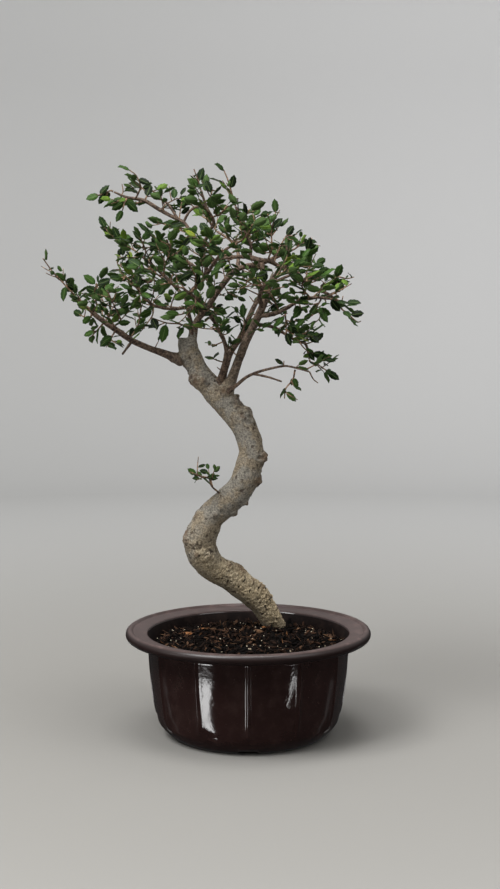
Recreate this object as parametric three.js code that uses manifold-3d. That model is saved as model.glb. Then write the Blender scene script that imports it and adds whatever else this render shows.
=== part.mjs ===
// Chinese elm bonsai with an S-shaped trunk, growing in a round fluted plastic training pot.
// Millimetres. +X is to the right of the front view, +Y to the back, +Z up.
// The origin is the middle of the pot's underside.

import * as THREE from 'three';
import { mergeVertices } from 'three/addons/utils/BufferGeometryUtils.js';
import Module from 'manifold-3d';

const wasm = await Module();
wasm.setup();

// Driving sizes of the pot

const FLUTES = 12;
const STEPS_PER_FLUTE = 4;
const FLUTE_DEPTH = 1.6;
const FLUTE_FOOT = 11;
const FLUTE_FULL = 22;
const FLOOR_THICKNESS = 4;
const BASE_RADIUS = 57;
const RIM_RADIUS = 92;
const LIP_RADIUS = 76;
const DRAIN_HOLES = 4;
const DRAIN_HOLE_RADIUS = 4.5;
const DRAIN_HOLE_SIDES = 8;
const DRAIN_HOLE_CIRCLE = 36;
const NOTCH = { count: 4, width: 14, height: 2.8, inner: 44, outer: 64 };

// Outer wall from the base edge up to the underside of the rim, as [radius, height]
const OUTER_WALL = [[64.5, 6], [68, FLUTE_FOOT], [71, FLUTE_FULL], [73.8, 45], [75.4, 71]];
const RIM = [[91, 72], [RIM_RADIUS, 77.5], [90, 80], [87, 78.6], [LIP_RADIUS, 77]];
const INNER_WALL = [[72.6, 75], [67, 18], [56, FLOOR_THICKNESS]];

// Soil: rings of its top, as [radius, height], and the gap that it keeps to the pot
const GAP = 0.3;
const SOIL_TOP = [[71.4, 68.5], [52, 71.5], [22, 74.5]];
const SOIL_ROUGHNESS = 0.7;
const SOIL_STEPS = 24;

// Wood: every limb is a list of [x, y, z, radius] stations, and its first one lies inside its parent

const LIMBS = {
  trunk: [
    [29, 42, 56, 8.0], [19, 32, 77, 8.2], [9, 26, 94, 9.6], [-4, 20, 107, 10.5], [-15, 15, 116, 10.2],
    [-27, 10, 124, 10.6], [-34, 6, 134, 11.8], [-36, 4, 144, 11.8], [-32, 2, 156, 11.5],
    [-27, 1, 165, 10.0], [-15, -1, 176, 10.3], [-5, -3, 187, 10.0], [1, -5, 205, 9.6],
    [2, -5, 215, 8.9], [-2, -3, 229, 9.2], [-9, -1, 239, 9.2], [-18, 1, 249, 8.8], [-31, 3, 264, 8.4],
    [-37, 4, 273, 7.5], [-40, 4, 279, 7.2], [-44, 4, 286, 7.6], [-45, 4, 292, 7.5], [-45, 4, 297, 6.6],
  ],
  left_low: [
    [-43, 4, 283, 4.2], [-52, 3, 282, 3.6], [-64, 0, 286, 2.8], [-72, -4, 289, 2.4],
    [-85, -9, 295, 2.3], [-95, -13, 302, 2.2], [-109, -17, 312, 1.9], [-115, -18, 318, 1.7],
  ],
  leader: [
    [-43, 4, 289, 4.0], [-41, 6, 298, 3.2], [-40, 9, 304, 2.8], [-38, 12, 310, 2.5], [-31, 18, 319, 2.2],
    [-22, 24, 333, 2.4], [-9, 30, 348, 2.3], [9, 38, 353, 2.0], [21, 46, 358, 1.6], [34, 52, 364, 1.1],
  ],
  leader_front: [
    [-43, 2, 291, 2.4], [-42, -1, 306, 1.7], [-44, -5, 316, 1.5], [-45, -10, 327, 1.7],
    [-40, -12, 332, 1.9], [-31, -12, 343, 1.7], [-32, -9, 355, 1.5], [-34, -8, 363, 1.5],
    [-40, -4, 371, 1.4], [-47, 2, 381, 1.5], [-54, 6, 385, 1.5], [-65, 8, 391, 1.5],
    [-77, 8, 398, 1.6], [-89, 5, 400, 1.2], [-99, 4, 404, 0.9],
  ],
  fork_right: [
    [-34, -8, 362, 1.4], [-28, -12, 374, 1.3], [-25, -14, 381, 1.2],
    [-30, -16, 391, 1.0], [-34, -18, 403, 0.8],
  ],
  pale_cross: [
    [-33, 14, 315, 1.3], [-39, 4, 320, 1.2], [-54, -10, 318, 1.2],
    [-67, -18, 320, 1.1], [-73, -22, 324, 0.9],
  ],
  mid_left: [[-45, -8, 325, 1.4], [-56, -4, 337, 1.3], [-69, 0, 349, 1.1], [-81, 4, 359, 0.9]],
  inner: [
    [-24, 1, 256, 3.2], [-19, -4, 272, 2.2], [-16, -10, 287, 1.8],
    [-19, -14, 298, 1.6], [-23, -18, 306, 1.1],
  ],
  right_back: [
    [-22, 3, 256, 4.0], [-18, 5, 272, 2.8], [-13, 9, 286, 2.3], [-6, 13, 297, 2.2], [1, 20, 313, 2.0],
    [7, 32, 325, 1.8], [14, 44, 335, 1.6], [28, 58, 343, 1.3], [42, 70, 348, 1.0],
  ],
  right_main: [
    [-21, 0, 250, 6.6], [-16, -1, 259, 5.6], [-12, -2, 267, 4.0], [-7, -5, 281, 3.3], [-2, -8, 294, 3.1],
    [4, -12, 306, 3.1], [10, -14, 319, 2.9], [14, -16, 330, 2.3], [11, -16, 340, 1.9], [10, -14, 352, 1.9],
  ],
  snag: [[14, -16, 331, 1.9], [17, -19, 338, 1.4], [20, -21, 345, 0.5]],
  right_mid: [
    [8, -13, 313, 1.8], [17, -18, 314, 1.5], [25, -24, 317, 1.4], [37, -32, 324, 1.2],
    [47, -38, 326, 1.0], [56, -44, 325, 0.9],
  ],
  arch: [
    [1, -11, 355, 1.6], [10, -14, 353, 1.7], [17, -12, 352, 1.6], [38, -5, 340, 1.3],
    [50, 0, 333, 1.2], [61, 4, 328, 1.1], [69, 8, 319, 0.9],
  ],
  arch_left: [[11, -14, 353, 1.6], [-2, -10, 356, 1.5], [-19, -4, 355, 1.2], [-28, 3, 353, 0.9]],
  right_low: [
    [5, -12, 307, 1.6], [18, -2, 305, 1.2], [27, 6, 300, 1.1], [37, 12, 294, 1.0],
    [43, 14, 292, 1.0], [46, 13, 281, 0.9],
  ],
  low_right: [
    [-19, -2, 255, 2.2], [-9, -9, 262, 1.5], [-2, -14, 268, 1.3], [6, -19, 272, 1.2],
    [16, -24, 275, 1.1], [27, -28, 277, 1.0], [37, -31, 275, 0.9], [44, -33, 273, 0.8],
  ],
  tall: [[1, -11, 355, 1.3], [2, -10, 364, 1.2], [-2, -10, 373, 1.1], [-9, -9, 392, 0.8]],
  back_left: [[-24, 23, 330, 1.7], [-32, 38, 342, 1.4], [-44, 54, 353, 1.2], [-58, 68, 362, 0.9]],
  back_top: [[-8, 31, 349, 1.6], [-8, 46, 362, 1.3], [-14, 60, 372, 1.1], [-24, 72, 379, 0.9]],
  front_left: [[-18, -13, 296, 1.5], [-25, -32, 310, 1.3], [-34, -50, 323, 1.1], [-44, -66, 331, 0.9]],
  front_right: [[10, -14, 320, 1.8], [8, -34, 327, 1.4], [12, -52, 335, 1.1], [21, -68, 340, 0.9]],
  front_top: [[-31, -12, 342, 1.5], [-24, -30, 351, 1.2], [-16, -46, 359, 1.0], [-6, -60, 364, 0.8]],
  bare_high: [[-51, 4, 383, 1.0], [-61, 9, 397, 0.8], [-70, 12, 400, 0.6]],
  bare_pale: [[-48, 3, 381, 1.0], [-44, 0, 388, 0.9], [-39, -3, 392, 0.9], [-31, -6, 393, 0.7]],
  bare_down: [[-85, -9, 295, 1.2], [-92, -13, 285, 0.7]],
  bare_low: [[3, -17, 271, 0.9], [14, -25, 269, 0.8], [24, -31, 266, 0.6]],
  bare_stub: [[27, -9, 347, 1.4], [29, -10, 354, 1.7], [28, -12, 364, 1.1]],
};

const TRUNK_SIDES = 11;
const TRUNK_RINGS = 32;

// Knobs and burls that swell the trunk, as [x, y, z, reach, height]
const BURLS = [
  [-41, -3, 265, 10, 2.6], [-7, -4, 250, 9, 2.4], [5, -8, 243, 9, 3.0], [-51, 0, 278, 8, 2.4],
  [11, -8, 209, 8, 1.6], [6, -6, 192, 8, 1.4], [-6, 14, 122, 10, 2.2], [12, 18, 108, 9, 2.0],
  [-46, 2, 150, 10, 1.6], [-26, -10, 134, 10, 1.6], [-10, 12, 180, 9, 2.0], [10, 6, 222, 9, 2.0],
];

// Leafy shoots: [name, the limb that carries it, route, tips of the leaves that stand out]
// The first leg starts square from the nearest place on the limb.

const SHOOTS = [
  ['left_1', 'left_low', [[-119, -18, 320], [-131, -22, 334], [-140, -25, 344], [-147, -28, 354]],
    [[-131, -22, 338], [-123, -18, 332], [-134, -26, 324]]],
  ['left_2', 'left_low', [[-109, -24, 320], [-110, -30, 329], [-108, -34, 336]],
    [[-117, -36, 342], [-103, -28, 337]]],
  ['left_3', 'left_low', [[-117, -10, 311], [-124, -4, 314]], [[-129, 0, 317], [-122, -10, 307]]],
  ['left_4', 'left_low', [[-109, -12, 304], [-115, -8, 298]], [[-121, -6, 299], [-113, -10, 292]]],
  ['left_5', 'left_low', [[-99, -18, 298], [-101, -24, 292]], [[-105, -26, 294], [-97, -22, 287]]],
  ['left_6', 'left_low', [[-92, -24, 310], [-96, -34, 321], [-100, -42, 331]], []],
  ['left_7', 'left_low', [[-81, -6, 306], [-79, -2, 320], [-82, 2, 335]], []],
  ['left_8', 'left_low', [[-103, -4, 314], [-109, 10, 326], [-114, 20, 337]], []],
  ['mid_1', 'leader', [[-50, -1, 307], [-60, -8, 308], [-71, -14, 312]],
    [[-65, -12, 288], [-53, -8, 296], [-53, -8, 310]]],
  ['mid_2', 'pale_cross', [[-69, -26, 313], [-73, -30, 307]], [[-65, -30, 303]]],
  ['mid_3', 'pale_cross', [[-78, -28, 330], [-84, -34, 338], [-91, -38, 344]], []],
  ['mid_4', 'mid_left', [[-87, 4, 363], [-98, 6, 370], [-107, 8, 379]],
    [[-110, 8, 387], [-100, 4, 379], [-92, 2, 377]]],
  ['mid_5', 'mid_left', [[-75, -8, 361], [-78, -14, 369]], [[-69, -18, 374], [-83, -14, 375]]],
  ['mid_6', 'mid_left', [[-73, 12, 338], [-84, 20, 343], [-97, 26, 351]], []],
  ['mid_7', 'mid_left', [[-60, -16, 350], [-56, -28, 360], [-58, -34, 367]], []],
  ['front_1', 'front_left', [[-41, -52, 316], [-50, -60, 313]], [[-57, -62, 316]]],
  ['front_2', 'front_left', [[-52, -68, 334], [-62, -74, 341], [-69, -78, 348]], []],
  ['front_3', 'front_left', [[-35, -60, 336], [-40, -68, 347], [-45, -74, 354]], []],
  ['high_1', 'leader_front', [[-105, 3, 403], [-110, 2, 401]],
    [[-119, 2, 398], [-111, 6, 395], [-103, 0, 408]]],
  ['high_2', 'leader_front', [[-91, 1, 395], [-92, -2, 390]], [[-96, -6, 382], [-80, 2, 388]]],
  ['high_3', 'leader_front', [[-74, 14, 404], [-68, 20, 407]], [[-60, 22, 412], [-72, 16, 412]]],
  ['high_4', 'leader_front', [[-80, -6, 402], [-78, -12, 407], [-81, -14, 414], [-86, -14, 418]],
    [[-71, -18, 408]]],
  ['high_5', 'leader_front', [[-61, 16, 396], [-54, 26, 401]], [[-48, 30, 394], [-56, 30, 411]]],
  ['high_6', 'leader_front', [[-53, -12, 377], [-59, -28, 378], [-64, -38, 379]], []],
  ['top_1', 'fork_right', [[-36, -19, 410], [-39, -20, 418]],
    [[-43, -22, 410], [-32, -18, 419], [-45, -16, 417]]],
  ['top_2', 'fork_right', [[-28, -12, 397], [-26, -9, 404]],
    [[-31, -8, 411], [-26, -6, 413], [-18, -6, 407]]],
  ['top_3', 'fork_right', [[-20, -20, 386], [-14, -30, 391]], []],
  ['top_4', 'tall', [[-12, -9, 402], [-15, -8, 412], [-18, -7, 419]], [[-10, -10, 415], [-9, -6, 412]]],
  ['top_5', 'tall', [[-2, -16, 385], [1, -22, 389]], [[-2, -24, 393], [7, -24, 389]]],
  ['top_6', 'tall', [[1, 4, 379], [7, 16, 384], [11, 24, 389]], [[16, 26, 392]]],
  ['right_1', 'arch', [[17, -18, 362], [17, -19, 375], [20, -20, 388]],
    [[19, -20, 397], [26, -22, 394], [26, -16, 384], [11, -20, 377]]],
  ['right_2', 'arch', [[23, -4, 363], [28, 2, 372]], [[35, 6, 381], [40, 4, 374], [26, 2, 380]]],
  ['right_3', 'arch', [[39, -14, 351], [43, -22, 361]], [[45, -24, 369], [52, -26, 361]]],
  ['right_4', 'arch', [[44, 8, 347], [51, 14, 352]], [[58, 18, 356]]],
  ['right_5', 'arch', [[59, 4, 337], [66, 2, 342]], [[69, 0, 351], [80, 0, 346], [75, 4, 337]]],
  ['right_6', 'arch', [[74, 8, 315], [79, 6, 310]], [[86, 8, 315], [87, 4, 306], [81, 8, 303]]],
  ['right_7', 'right_mid', [[63, -47, 324], [69, -50, 322]],
    [[79, -52, 323], [73, -50, 316], [65, -44, 316]]],
  ['right_8', 'right_mid', [[38, -44, 333], [40, -54, 340]], []],
  ['right_9', 'right_mid', [[27, -34, 307], [27, -40, 300]], [[30, -42, 292], [20, -40, 297]]],
  ['right_10', 'right_mid', [[48, -46, 318], [53, -54, 316]], [[55, -56, 309]]],
  ['right_11', 'right_low', [[41, 2, 300], [47, -4, 298]], [[52, -8, 293], [40, 2, 305]]],
  ['right_12', 'right_low', [[52, 10, 277], [59, 6, 272]], [[69, 4, 265], [56, 8, 289]]],
  ['back_1', 'right_back', [[15, 52, 326], [23, 62, 320]], []],
  ['back_2', 'right_back', [[52, 74, 349], [60, 78, 346]], []],
  ['back_3', 'right_back', [[28, 64, 355], [33, 70, 365]], []],
  ['back_4', 'back_left', [[-70, 74, 365], [-79, 78, 370]], []],
  ['back_5', 'back_left', [[-50, 56, 343], [-60, 64, 338]], []],
  ['back_6', 'back_top', [[-30, 76, 387], [-37, 80, 392]], []],
  ['back_7', 'back_top', [[-3, 60, 372], [6, 68, 377]], []],
  ['back_8', 'leader', [[42, 54, 369], [49, 56, 372]], []],
  ['back_9', 'leader', [[-26, 34, 316], [-33, 48, 309]], []],
  ['front_4', 'front_right', [[28, -74, 343], [35, -80, 342]], []],
  ['front_5', 'front_right', [[3, -50, 335], [-4, -62, 339]], []],
  ['front_6', 'front_top', [[0, -68, 369], [3, -74, 375]], []],
  ['front_7', 'front_top', [[-25, -48, 360], [-31, -60, 365]], []],
  ['low_1', 'low_right', [[32, -31, 267], [27, -33, 261], [26, -35, 254]],
    [[36, -33, 259], [38, -36, 249], [19, -35, 252]]],
  ['low_2', 'trunk', [[-27, -12, 188], [-29, -14, 194], [-35, -16, 196], [-43, -16, 199]],
    [[-47, -16, 203], [-17, -12, 194], [-24, -16, 190]]],
];

const TWIG = { start: 1.1, end: 0.6, sides: 4, squareLeg: 2 };
const LEAF_SPACING = 9.5;
const LEAF_COUNT = { least: 4, most: 5 };
const LEAF = { shortest: 10.5, longest: 15.5, width: 0.56, thickness: 0.7, fold: 0.28, clearance: 0.35 };
const [FIRST_FOOT, SECOND_FOOT, LAST_FOOT] = [0.3, 0.42, 0.965];
const ROLL_STEP = THREE.MathUtils.degToRad(50);
const TRIES = 14;

// The blade's two edges from its stalk to its tip, with a coarse tooth each, in lengths and half widths
const STALK = { reach: 0.13, halfWidth: 0.45, sunk: 0.35 };
const BLADE_EDGES = [[[0.3, 0.86], [0.5, 1.0], [0.56, 0.74]], [[0.36, 0.94], [0.68, 0.82], [0.73, 0.55]]];

// Solids and meshes

function toSolid(geometry) {
  const bare = geometry.clone();
  bare.deleteAttribute('normal');
  bare.deleteAttribute('uv');
  const welded = mergeVertices(bare, 1e-4);
  return new wasm.Manifold(new wasm.Mesh({
    numProp: 3,
    vertProperties: new Float32Array(welded.attributes.position.array),
    triVerts: new Uint32Array(welded.index.array),
  }));
}

function toMesh(solid, name, material) {
  const { vertProperties, triVerts } = solid.getMesh();
  const geometry = new THREE.BufferGeometry();
  geometry.setAttribute('position', new THREE.BufferAttribute(new Float32Array(vertProperties), 3));
  geometry.setIndex(new THREE.BufferAttribute(new Uint32Array(triVerts), 1));
  geometry.computeVertexNormals();
  const mesh = new THREE.Mesh(geometry, material);
  mesh.name = name;
  return mesh;
}

function material(color, roughness) {
  return new THREE.MeshStandardMaterial({ color, roughness, metalness: 0 });
}

const potPlastic = material(0x2b2020, 0.35);
const pottingMix = material(0x241d18, 1);
const bark = material(0x8a8377, 0.85);
const leafGreen = material(0x35592b, 0.45);

// The pot: a turned wall, with flutes pressed into its outside

// A closed profile of [radius, height] points turned about the Z axis, with its vertices moved by a rule
function turned(profile, steps, move) {
  const points = profile.map(([radius, height]) => new THREE.Vector2(radius, height));
  const geometry = new THREE.LatheGeometry(points, steps);
  const position = geometry.attributes.position;
  for (let i = 0; i < position.count; i++) {
    const angle = Math.floor(i / profile.length) % steps * 2 * Math.PI / steps;
    const [radius, height] = move(angle, i % profile.length);
    position.setXYZ(i, radius * Math.sin(angle), -radius * Math.cos(angle), height);
  }
  return toSolid(geometry);
}

// How far into a flute an angle is: 0 on a ridge and 1 in the middle between two
function fluteDip(angle) {
  const across = angle * FLUTES / Math.PI % 2 - 1;
  return 1 - across * across;
}

function potSolid() {
  const profile = [[0, 0], [BASE_RADIUS, 0], ...OUTER_WALL, ...RIM, ...INNER_WALL, [0, FLOOR_THICKNESS]];
  const firstFluted = 2 + OUTER_WALL.findIndex(([, height]) => height === FLUTE_FOOT);
  return turned(profile, FLUTES * STEPS_PER_FLUTE, (angle, index) => {
    const [radius, height] = profile[index];
    const fluted = index >= firstFluted && index < 2 + OUTER_WALL.length;
    const depth = height < FLUTE_FULL ? FLUTE_DEPTH / 2 : FLUTE_DEPTH;
    return [fluted ? radius - depth * fluteDip(angle) : radius, height];
  });
}

function drainCutters() {
  const cutters = [];
  for (let i = 0; i < NOTCH.count; i++) {
    const box = new THREE.BoxGeometry(NOTCH.outer - NOTCH.inner, NOTCH.width, 2 * NOTCH.height);
    box.translate((NOTCH.outer + NOTCH.inner) / 2, 0, 0);
    box.rotateZ(-Math.PI / 2 + i * 2 * Math.PI / NOTCH.count);
    cutters.push(toSolid(box));
  }
  for (let i = 0; i < DRAIN_HOLES; i++) {
    const [radius, depth] = [DRAIN_HOLE_RADIUS, 4 * FLOOR_THICKNESS];
    const hole = new THREE.CylinderGeometry(radius, radius, depth, DRAIN_HOLE_SIDES);
    hole.rotateX(Math.PI / 2);
    hole.translate(DRAIN_HOLE_CIRCLE, 0, 0);
    hole.rotateZ((i + 0.5) * 2 * Math.PI / DRAIN_HOLES);
    cutters.push(toSolid(hole));
  }
  return cutters;
}

// Curves, tubes and the generator of the random draws

function generator(seed) {
  let state = seed;
  return () => {
    state = (state * 16807) % 2147483647;
    return state / 2147483647;
  };
}

// A route's rings lie on a smooth curve, and between them its line is straight, as its tube is
function routeOf(stations, rings) {
  const points = stations.map(([x, y, z]) => new THREE.Vector3(x, y, z));
  const curve = new THREE.CatmullRomCurve3(points, false, 'catmullrom', 0.5);
  const pointAt = (t) => {
    const ring = Math.min(Math.floor(t * rings), rings - 1);
    return curve.getPoint(ring / rings).lerp(curve.getPoint((ring + 1) / rings), t * rings - ring);
  };
  const radiusAt = (t) => {
    const place = t * (stations.length - 1);
    const span = Math.min(Math.floor(place), stations.length - 2);
    return THREE.MathUtils.lerp(stations[span][3], stations[span + 1][3], place - span);
  };
  return { curve, rings, pointAt, radiusAt };
}

// A closed tube along a route: a capped cylinder whose rings are carried to the curve
function tube({ curve, rings, radiusAt }, sides, swell = () => 0) {
  const geometry = new THREE.CylinderGeometry(1, 1, 1, sides, rings);
  const across = new THREE.Vector3(0, 0, 1);
  const frames = [];
  for (let i = 0; i <= rings; i++) {
    const along = curve.getTangent(i / rings);
    across.addScaledVector(along, -across.dot(along)).normalize();
    const third = across.clone().cross(along);
    frames.push({ centre: curve.getPoint(i / rings), across: across.clone(), third });
  }
  const position = geometry.attributes.position;
  const vertex = new THREE.Vector3();
  for (let i = 0; i < position.count; i++) {
    vertex.fromBufferAttribute(position, i);
    const ring = Math.round((vertex.y + 0.5) * rings);
    const { centre, across: a, third: b } = frames[ring];
    const out = new THREE.Vector3().addScaledVector(a, vertex.x).addScaledVector(b, vertex.z);
    const surface = centre.clone().addScaledVector(out, radiusAt(ring / rings));
    const lift = out.lengthSq() > 0.5 ? swell(surface) : 0;
    surface.addScaledVector(out, lift);
    position.setXYZ(i, surface.x, surface.y, surface.z);
  }
  return toSolid(geometry);
}

function burlHeight(point) {
  let height = 0;
  for (const [x, y, z, reach, rise] of BURLS) {
    const nearness = 1 - point.distanceTo(new THREE.Vector3(x, y, z)) / (reach + 2);
    height += rise * Math.max(0, nearness);
  }
  return height;
}

// Soil: a plug that fills the pot, with a plain hole for the trunk's foot

function soilSolid(foot) {
  const wall = [...INNER_WALL].reverse().slice(0, -1);
  const side = wall.map(([radius, height]) => [radius - GAP, height + GAP]);
  const profile = [[0, FLOOR_THICKNESS + GAP], ...side, ...SOIL_TOP, [0, SOIL_TOP.at(-1)[1]]];
  const plug = turned(profile, SOIL_STEPS, (angle, index) => {
    const [radius, height] = profile[index];
    const onTop = index > side.length + 1;
    const wave = Math.sin(5 * angle + index) * Math.cos(3 * angle - 2 * index);
    return [radius, radius && onTop ? height + SOIL_ROUGHNESS * wave : height];
  });
  return plug.subtract(foot);
}

// Room: what is already in place, as thick line segments

function segmentGap(first, second) {
  const u = first.end.clone().sub(first.start);
  const v = second.end.clone().sub(second.start);
  const w = first.start.clone().sub(second.start);
  const a = u.dot(u);
  const b = u.dot(v);
  const c = v.dot(v);
  const d = u.dot(w);
  const e = v.dot(w);
  const flat = a * c - b * b;
  let s = flat > 1e-9 ? THREE.MathUtils.clamp((b * e - c * d) / flat, 0, 1) : 0;
  const t = THREE.MathUtils.clamp((b * s + e) / c, 0, 1);
  s = THREE.MathUtils.clamp((b * t - d) / a, 0, 1);
  const apart = w.addScaledVector(u, s).addScaledVector(v, -t);
  return apart.length() - first.radius - second.radius;
}

function segmentsOf({ rings, pointAt, radiusAt }) {
  return Array.from({ length: rings }, (_, ring) => ({
    start: pointAt(ring / rings),
    end: pointAt((ring + 1) / rings),
    radius: Math.max(radiusAt(ring / rings), radiusAt((ring + 1) / rings)),
  }));
}

// Leaves

// A stalk that is pointed inside the twig, a narrow midrib, and two halves folded up along it
function bladeGeometry(length) {
  const halfWidth = length * LEAF.width / 2;
  const edgeOf = (edge, side) => [
    [STALK.reach * length, side * STALK.halfWidth],
    ...edge.map(([x, y]) => [x * length, side * y * halfWidth]),
  ];
  const right = edgeOf(BLADE_EDGES[1], -1);
  const outline = [...right, [length, 0], ...edgeOf(BLADE_EDGES[0], 1).reverse()];
  const [tip, last] = [right.length, outline.length - 1];
  const foot = 2 * outline.length;

  const upper = [[last, 0, tip]];
  for (let i = 1; i < tip; i++) upper.push([0, i, i + 1]);
  for (let i = tip; i < last - 1; i++) upper.push([last, i, i + 1]);

  const under = (i) => i + outline.length;
  const lower = upper.map(([a, b, c]) => [under(a), under(c), under(b)]);
  const rim = outline.slice(1).flatMap((_, i) => [[under(i), under(i + 1), i + 1], [under(i), i + 1, i]]);
  const upperStalk = [[foot, 0, last], [foot, last, under(last)]];
  const lowerStalk = [[foot, under(last), under(0)], [foot, under(0), 0]];

  const raised = (side) => outline.flatMap(([x, y]) => {
    const rise = LEAF.fold * Math.max(Math.abs(y) - STALK.halfWidth, 0);
    return [x, y, rise + side * LEAF.thickness / 2];
  });
  const vertices = [...raised(1), ...raised(-1), -STALK.sunk, 0, 0];
  const geometry = new THREE.BufferGeometry();
  geometry.setAttribute('position', new THREE.Float32BufferAttribute(vertices, 3));
  geometry.setIndex([...upper, ...lower, ...rim, ...upperStalk, ...lowerStalk].flat());
  return geometry;
}

// A leaf is given by its foot, the direction of its midrib and the direction that its face looks in.
// The room that it takes is four strips along the blade.
function leafSegments({ foot, along, face, length }) {
  const across = face.clone().cross(along);
  const spot = (x, y) => foot.clone().addScaledVector(along, x * length)
    .addScaledVector(across, y * length).addScaledVector(face, LEAF.fold * Math.abs(y) * length);
  const radius = length * LEAF.width / 8 + LEAF.clearance;
  const strip = (from, to, y) => ({ start: spot(from, y), end: spot(to, y), radius });
  const [inner, outer] = [LEAF.width / 8, LEAF.width * 0.36];
  return [1, -1].flatMap((side) => [strip(0.2, 0.92, side * inner), strip(0.34, 0.62, side * outer)]);
}

function leafSolid({ foot, along, face, length }) {
  const geometry = bladeGeometry(length);
  const across = face.clone().cross(along);
  const place = new THREE.Matrix4().makeBasis(along, across, face).setPosition(foot);
  return toSolid(geometry.applyMatrix4(place));
}

function squareTo(vector, axis) {
  return vector.clone().addScaledVector(axis, -vector.dot(axis)).normalize();
}

function isClear(segments, room) {
  return segments.every((mine) => room.every((other) => segmentGap(mine, other) > 0));
}

// Turns a leaf about its own line, and then to the twig's other side, until it is clear
function settle(leaf, swing, room) {
  for (let attempt = 0; attempt < TRIES; attempt++) {
    const half = attempt < TRIES / 2 ? 0 : 1;
    const along = half ? swing : leaf.along;
    const face = squareTo(leaf.face, along).applyAxisAngle(along, ROLL_STEP * (attempt % (TRIES / 2)));
    const candidate = { ...leaf, along, face };
    if (isClear(leafSegments(candidate), room)) return candidate;
  }
  return null;
}

// Shoots

function nearestPlace({ pointAt }, target) {
  let best = { t: 0, gap: Infinity };
  for (let i = 0; i <= 200; i++) {
    const gap = pointAt(i / 200).distanceTo(target);
    if (gap < best.gap) best = { t: i / 200, gap };
  }
  return best.t;
}

// The twig leaves the limb's surface squarely, with a hair's gap, and then follows its own route
function twigRoute(limb, route) {
  const target = new THREE.Vector3(...route[0]);
  const t = nearestPlace(limb, target);
  const centre = limb.pointAt(t);
  const atEnd = t === 1;
  const out = atEnd ? limb.curve.getTangent(1) : target.clone().sub(centre).normalize();
  const off = (atEnd ? 0 : limb.radiusAt(t)) + GAP;
  const first = centre.clone().addScaledVector(out, off);
  const second = centre.clone().addScaledVector(out, off + TWIG.squareLeg);
  const stations = [first.toArray(), second.toArray(), ...route];
  const last = stations.length - 1;
  const taper = (i) => THREE.MathUtils.lerp(TWIG.start, TWIG.end, i / last);
  return routeOf(stations.map(([x, y, z], i) => [x, y, z, taper(i)]), route.length + 1);
}

// A leaf whose tip is given starts where the twig is one leaf length away from that tip
function leafToTip(twig, tip, draw) {
  const target = new THREE.Vector3(...tip);
  const wanted = THREE.MathUtils.lerp(LEAF.shortest, LEAF.longest, draw());
  let foot = twig.pointAt(LAST_FOOT);
  for (let i = 0; i <= 40; i++) {
    const place = twig.pointAt(THREE.MathUtils.lerp(FIRST_FOOT, LAST_FOOT, i / 40));
    const miss = (point) => Math.abs(point.distanceTo(target) - wanted);
    if (miss(place) < miss(foot)) foot = place;
  }
  const along = target.clone().sub(foot);
  const length = THREE.MathUtils.clamp(along.length(), LEAF.shortest, LEAF.longest + 1.5);
  along.normalize();
  const face = new THREE.Vector3(draw() - 0.5, -1, 0.9 * draw());
  return { foot, along, face: squareTo(face, along), length, swing: along };
}

// Other leaves stand out to alternate sides of the twig, and the last one ends it
function leafAtPlace(twig, place, side, draw) {
  const foot = twig.pointAt(place);
  const forward = twig.curve.getTangent(place);
  const level = squareTo(new THREE.Vector3(0, 0, 1).cross(forward), forward);
  const upper = forward.clone().cross(level);
  const swingOut = draw();
  const atTip = place === LAST_FOOT;
  const spread = atTip ? 0.25 * (swingOut - 0.5) : side * THREE.MathUtils.lerp(0.75, 1.15, swingOut);
  const lift = THREE.MathUtils.lerp(-0.35, 0.45, draw());
  const towards = (angle) => forward.clone().multiplyScalar(Math.cos(angle))
    .addScaledVector(level, Math.sin(angle)).addScaledVector(upper, lift).normalize();
  const along = towards(spread);
  const swing = towards(-spread);
  const roll = THREE.MathUtils.lerp(-1.1, 1.1, draw());
  const length = THREE.MathUtils.lerp(LEAF.shortest, LEAF.longest, draw());
  const face = squareTo(upper, along).applyAxisAngle(along, roll);
  return { foot, along, face, length, swing };
}

function growShoot([, limbName, route, tips], index, room) {
  const draw = generator(4001 + 137 * index);
  const twig = twigRoute(routes[limbName], route);
  const reach = twig.curve.getLength();
  const wanted = THREE.MathUtils.clamp(Math.round(reach / LEAF_SPACING), LEAF_COUNT.least, LEAF_COUNT.most);
  const byRule = Math.max(wanted - tips.length, 1);
  const drafts = tips.map((tip) => leafToTip(twig, tip, draw));
  for (let i = 0; i < byRule; i++) {
    const place = THREE.MathUtils.lerp(SECOND_FOOT, LAST_FOOT, i / Math.max(byRule - 1, 1));
    drafts.push(leafAtPlace(twig, place, i % 2 ? 1 : -1, draw));
  }
  let solid = tube(twig, TWIG.sides);
  const own = [];
  for (const draft of drafts) {
    const leaf = settle(draft, draft.swing, [...room, ...own]);
    if (!leaf) continue;
    solid = solid.add(leafSolid(leaf));
    own.push(...leafSegments(leaf));
  }
  room.push(...own);
  return solid;
}

// The whole bonsai

function limbRings(name) {
  return name === 'trunk' ? TRUNK_RINGS : Math.max(LIMBS[name].length - 1, 3);
}

function limbSides(radius) {
  if (radius > 3) return 6;
  return radius > 1.5 ? 5 : 4;
}

const routes = {};
for (const name of Object.keys(LIMBS)) routes[name] = routeOf(LIMBS[name], limbRings(name));

function limbSolid(name) {
  if (name === 'trunk') return tube(routes.trunk, TRUNK_SIDES, burlHeight);
  return tube(routes[name], limbSides(LIMBS[name][0][3]));
}

const wood = Object.keys(LIMBS).map(limbSolid).reduce((whole, limb) => whole.add(limb));
const footCutter = tube(routes.trunk, TRUNK_SIDES, (point) => burlHeight(point) + GAP);
const pot = drainCutters().reduce((whole, cutter) => whole.subtract(cutter), potSolid());

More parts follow.
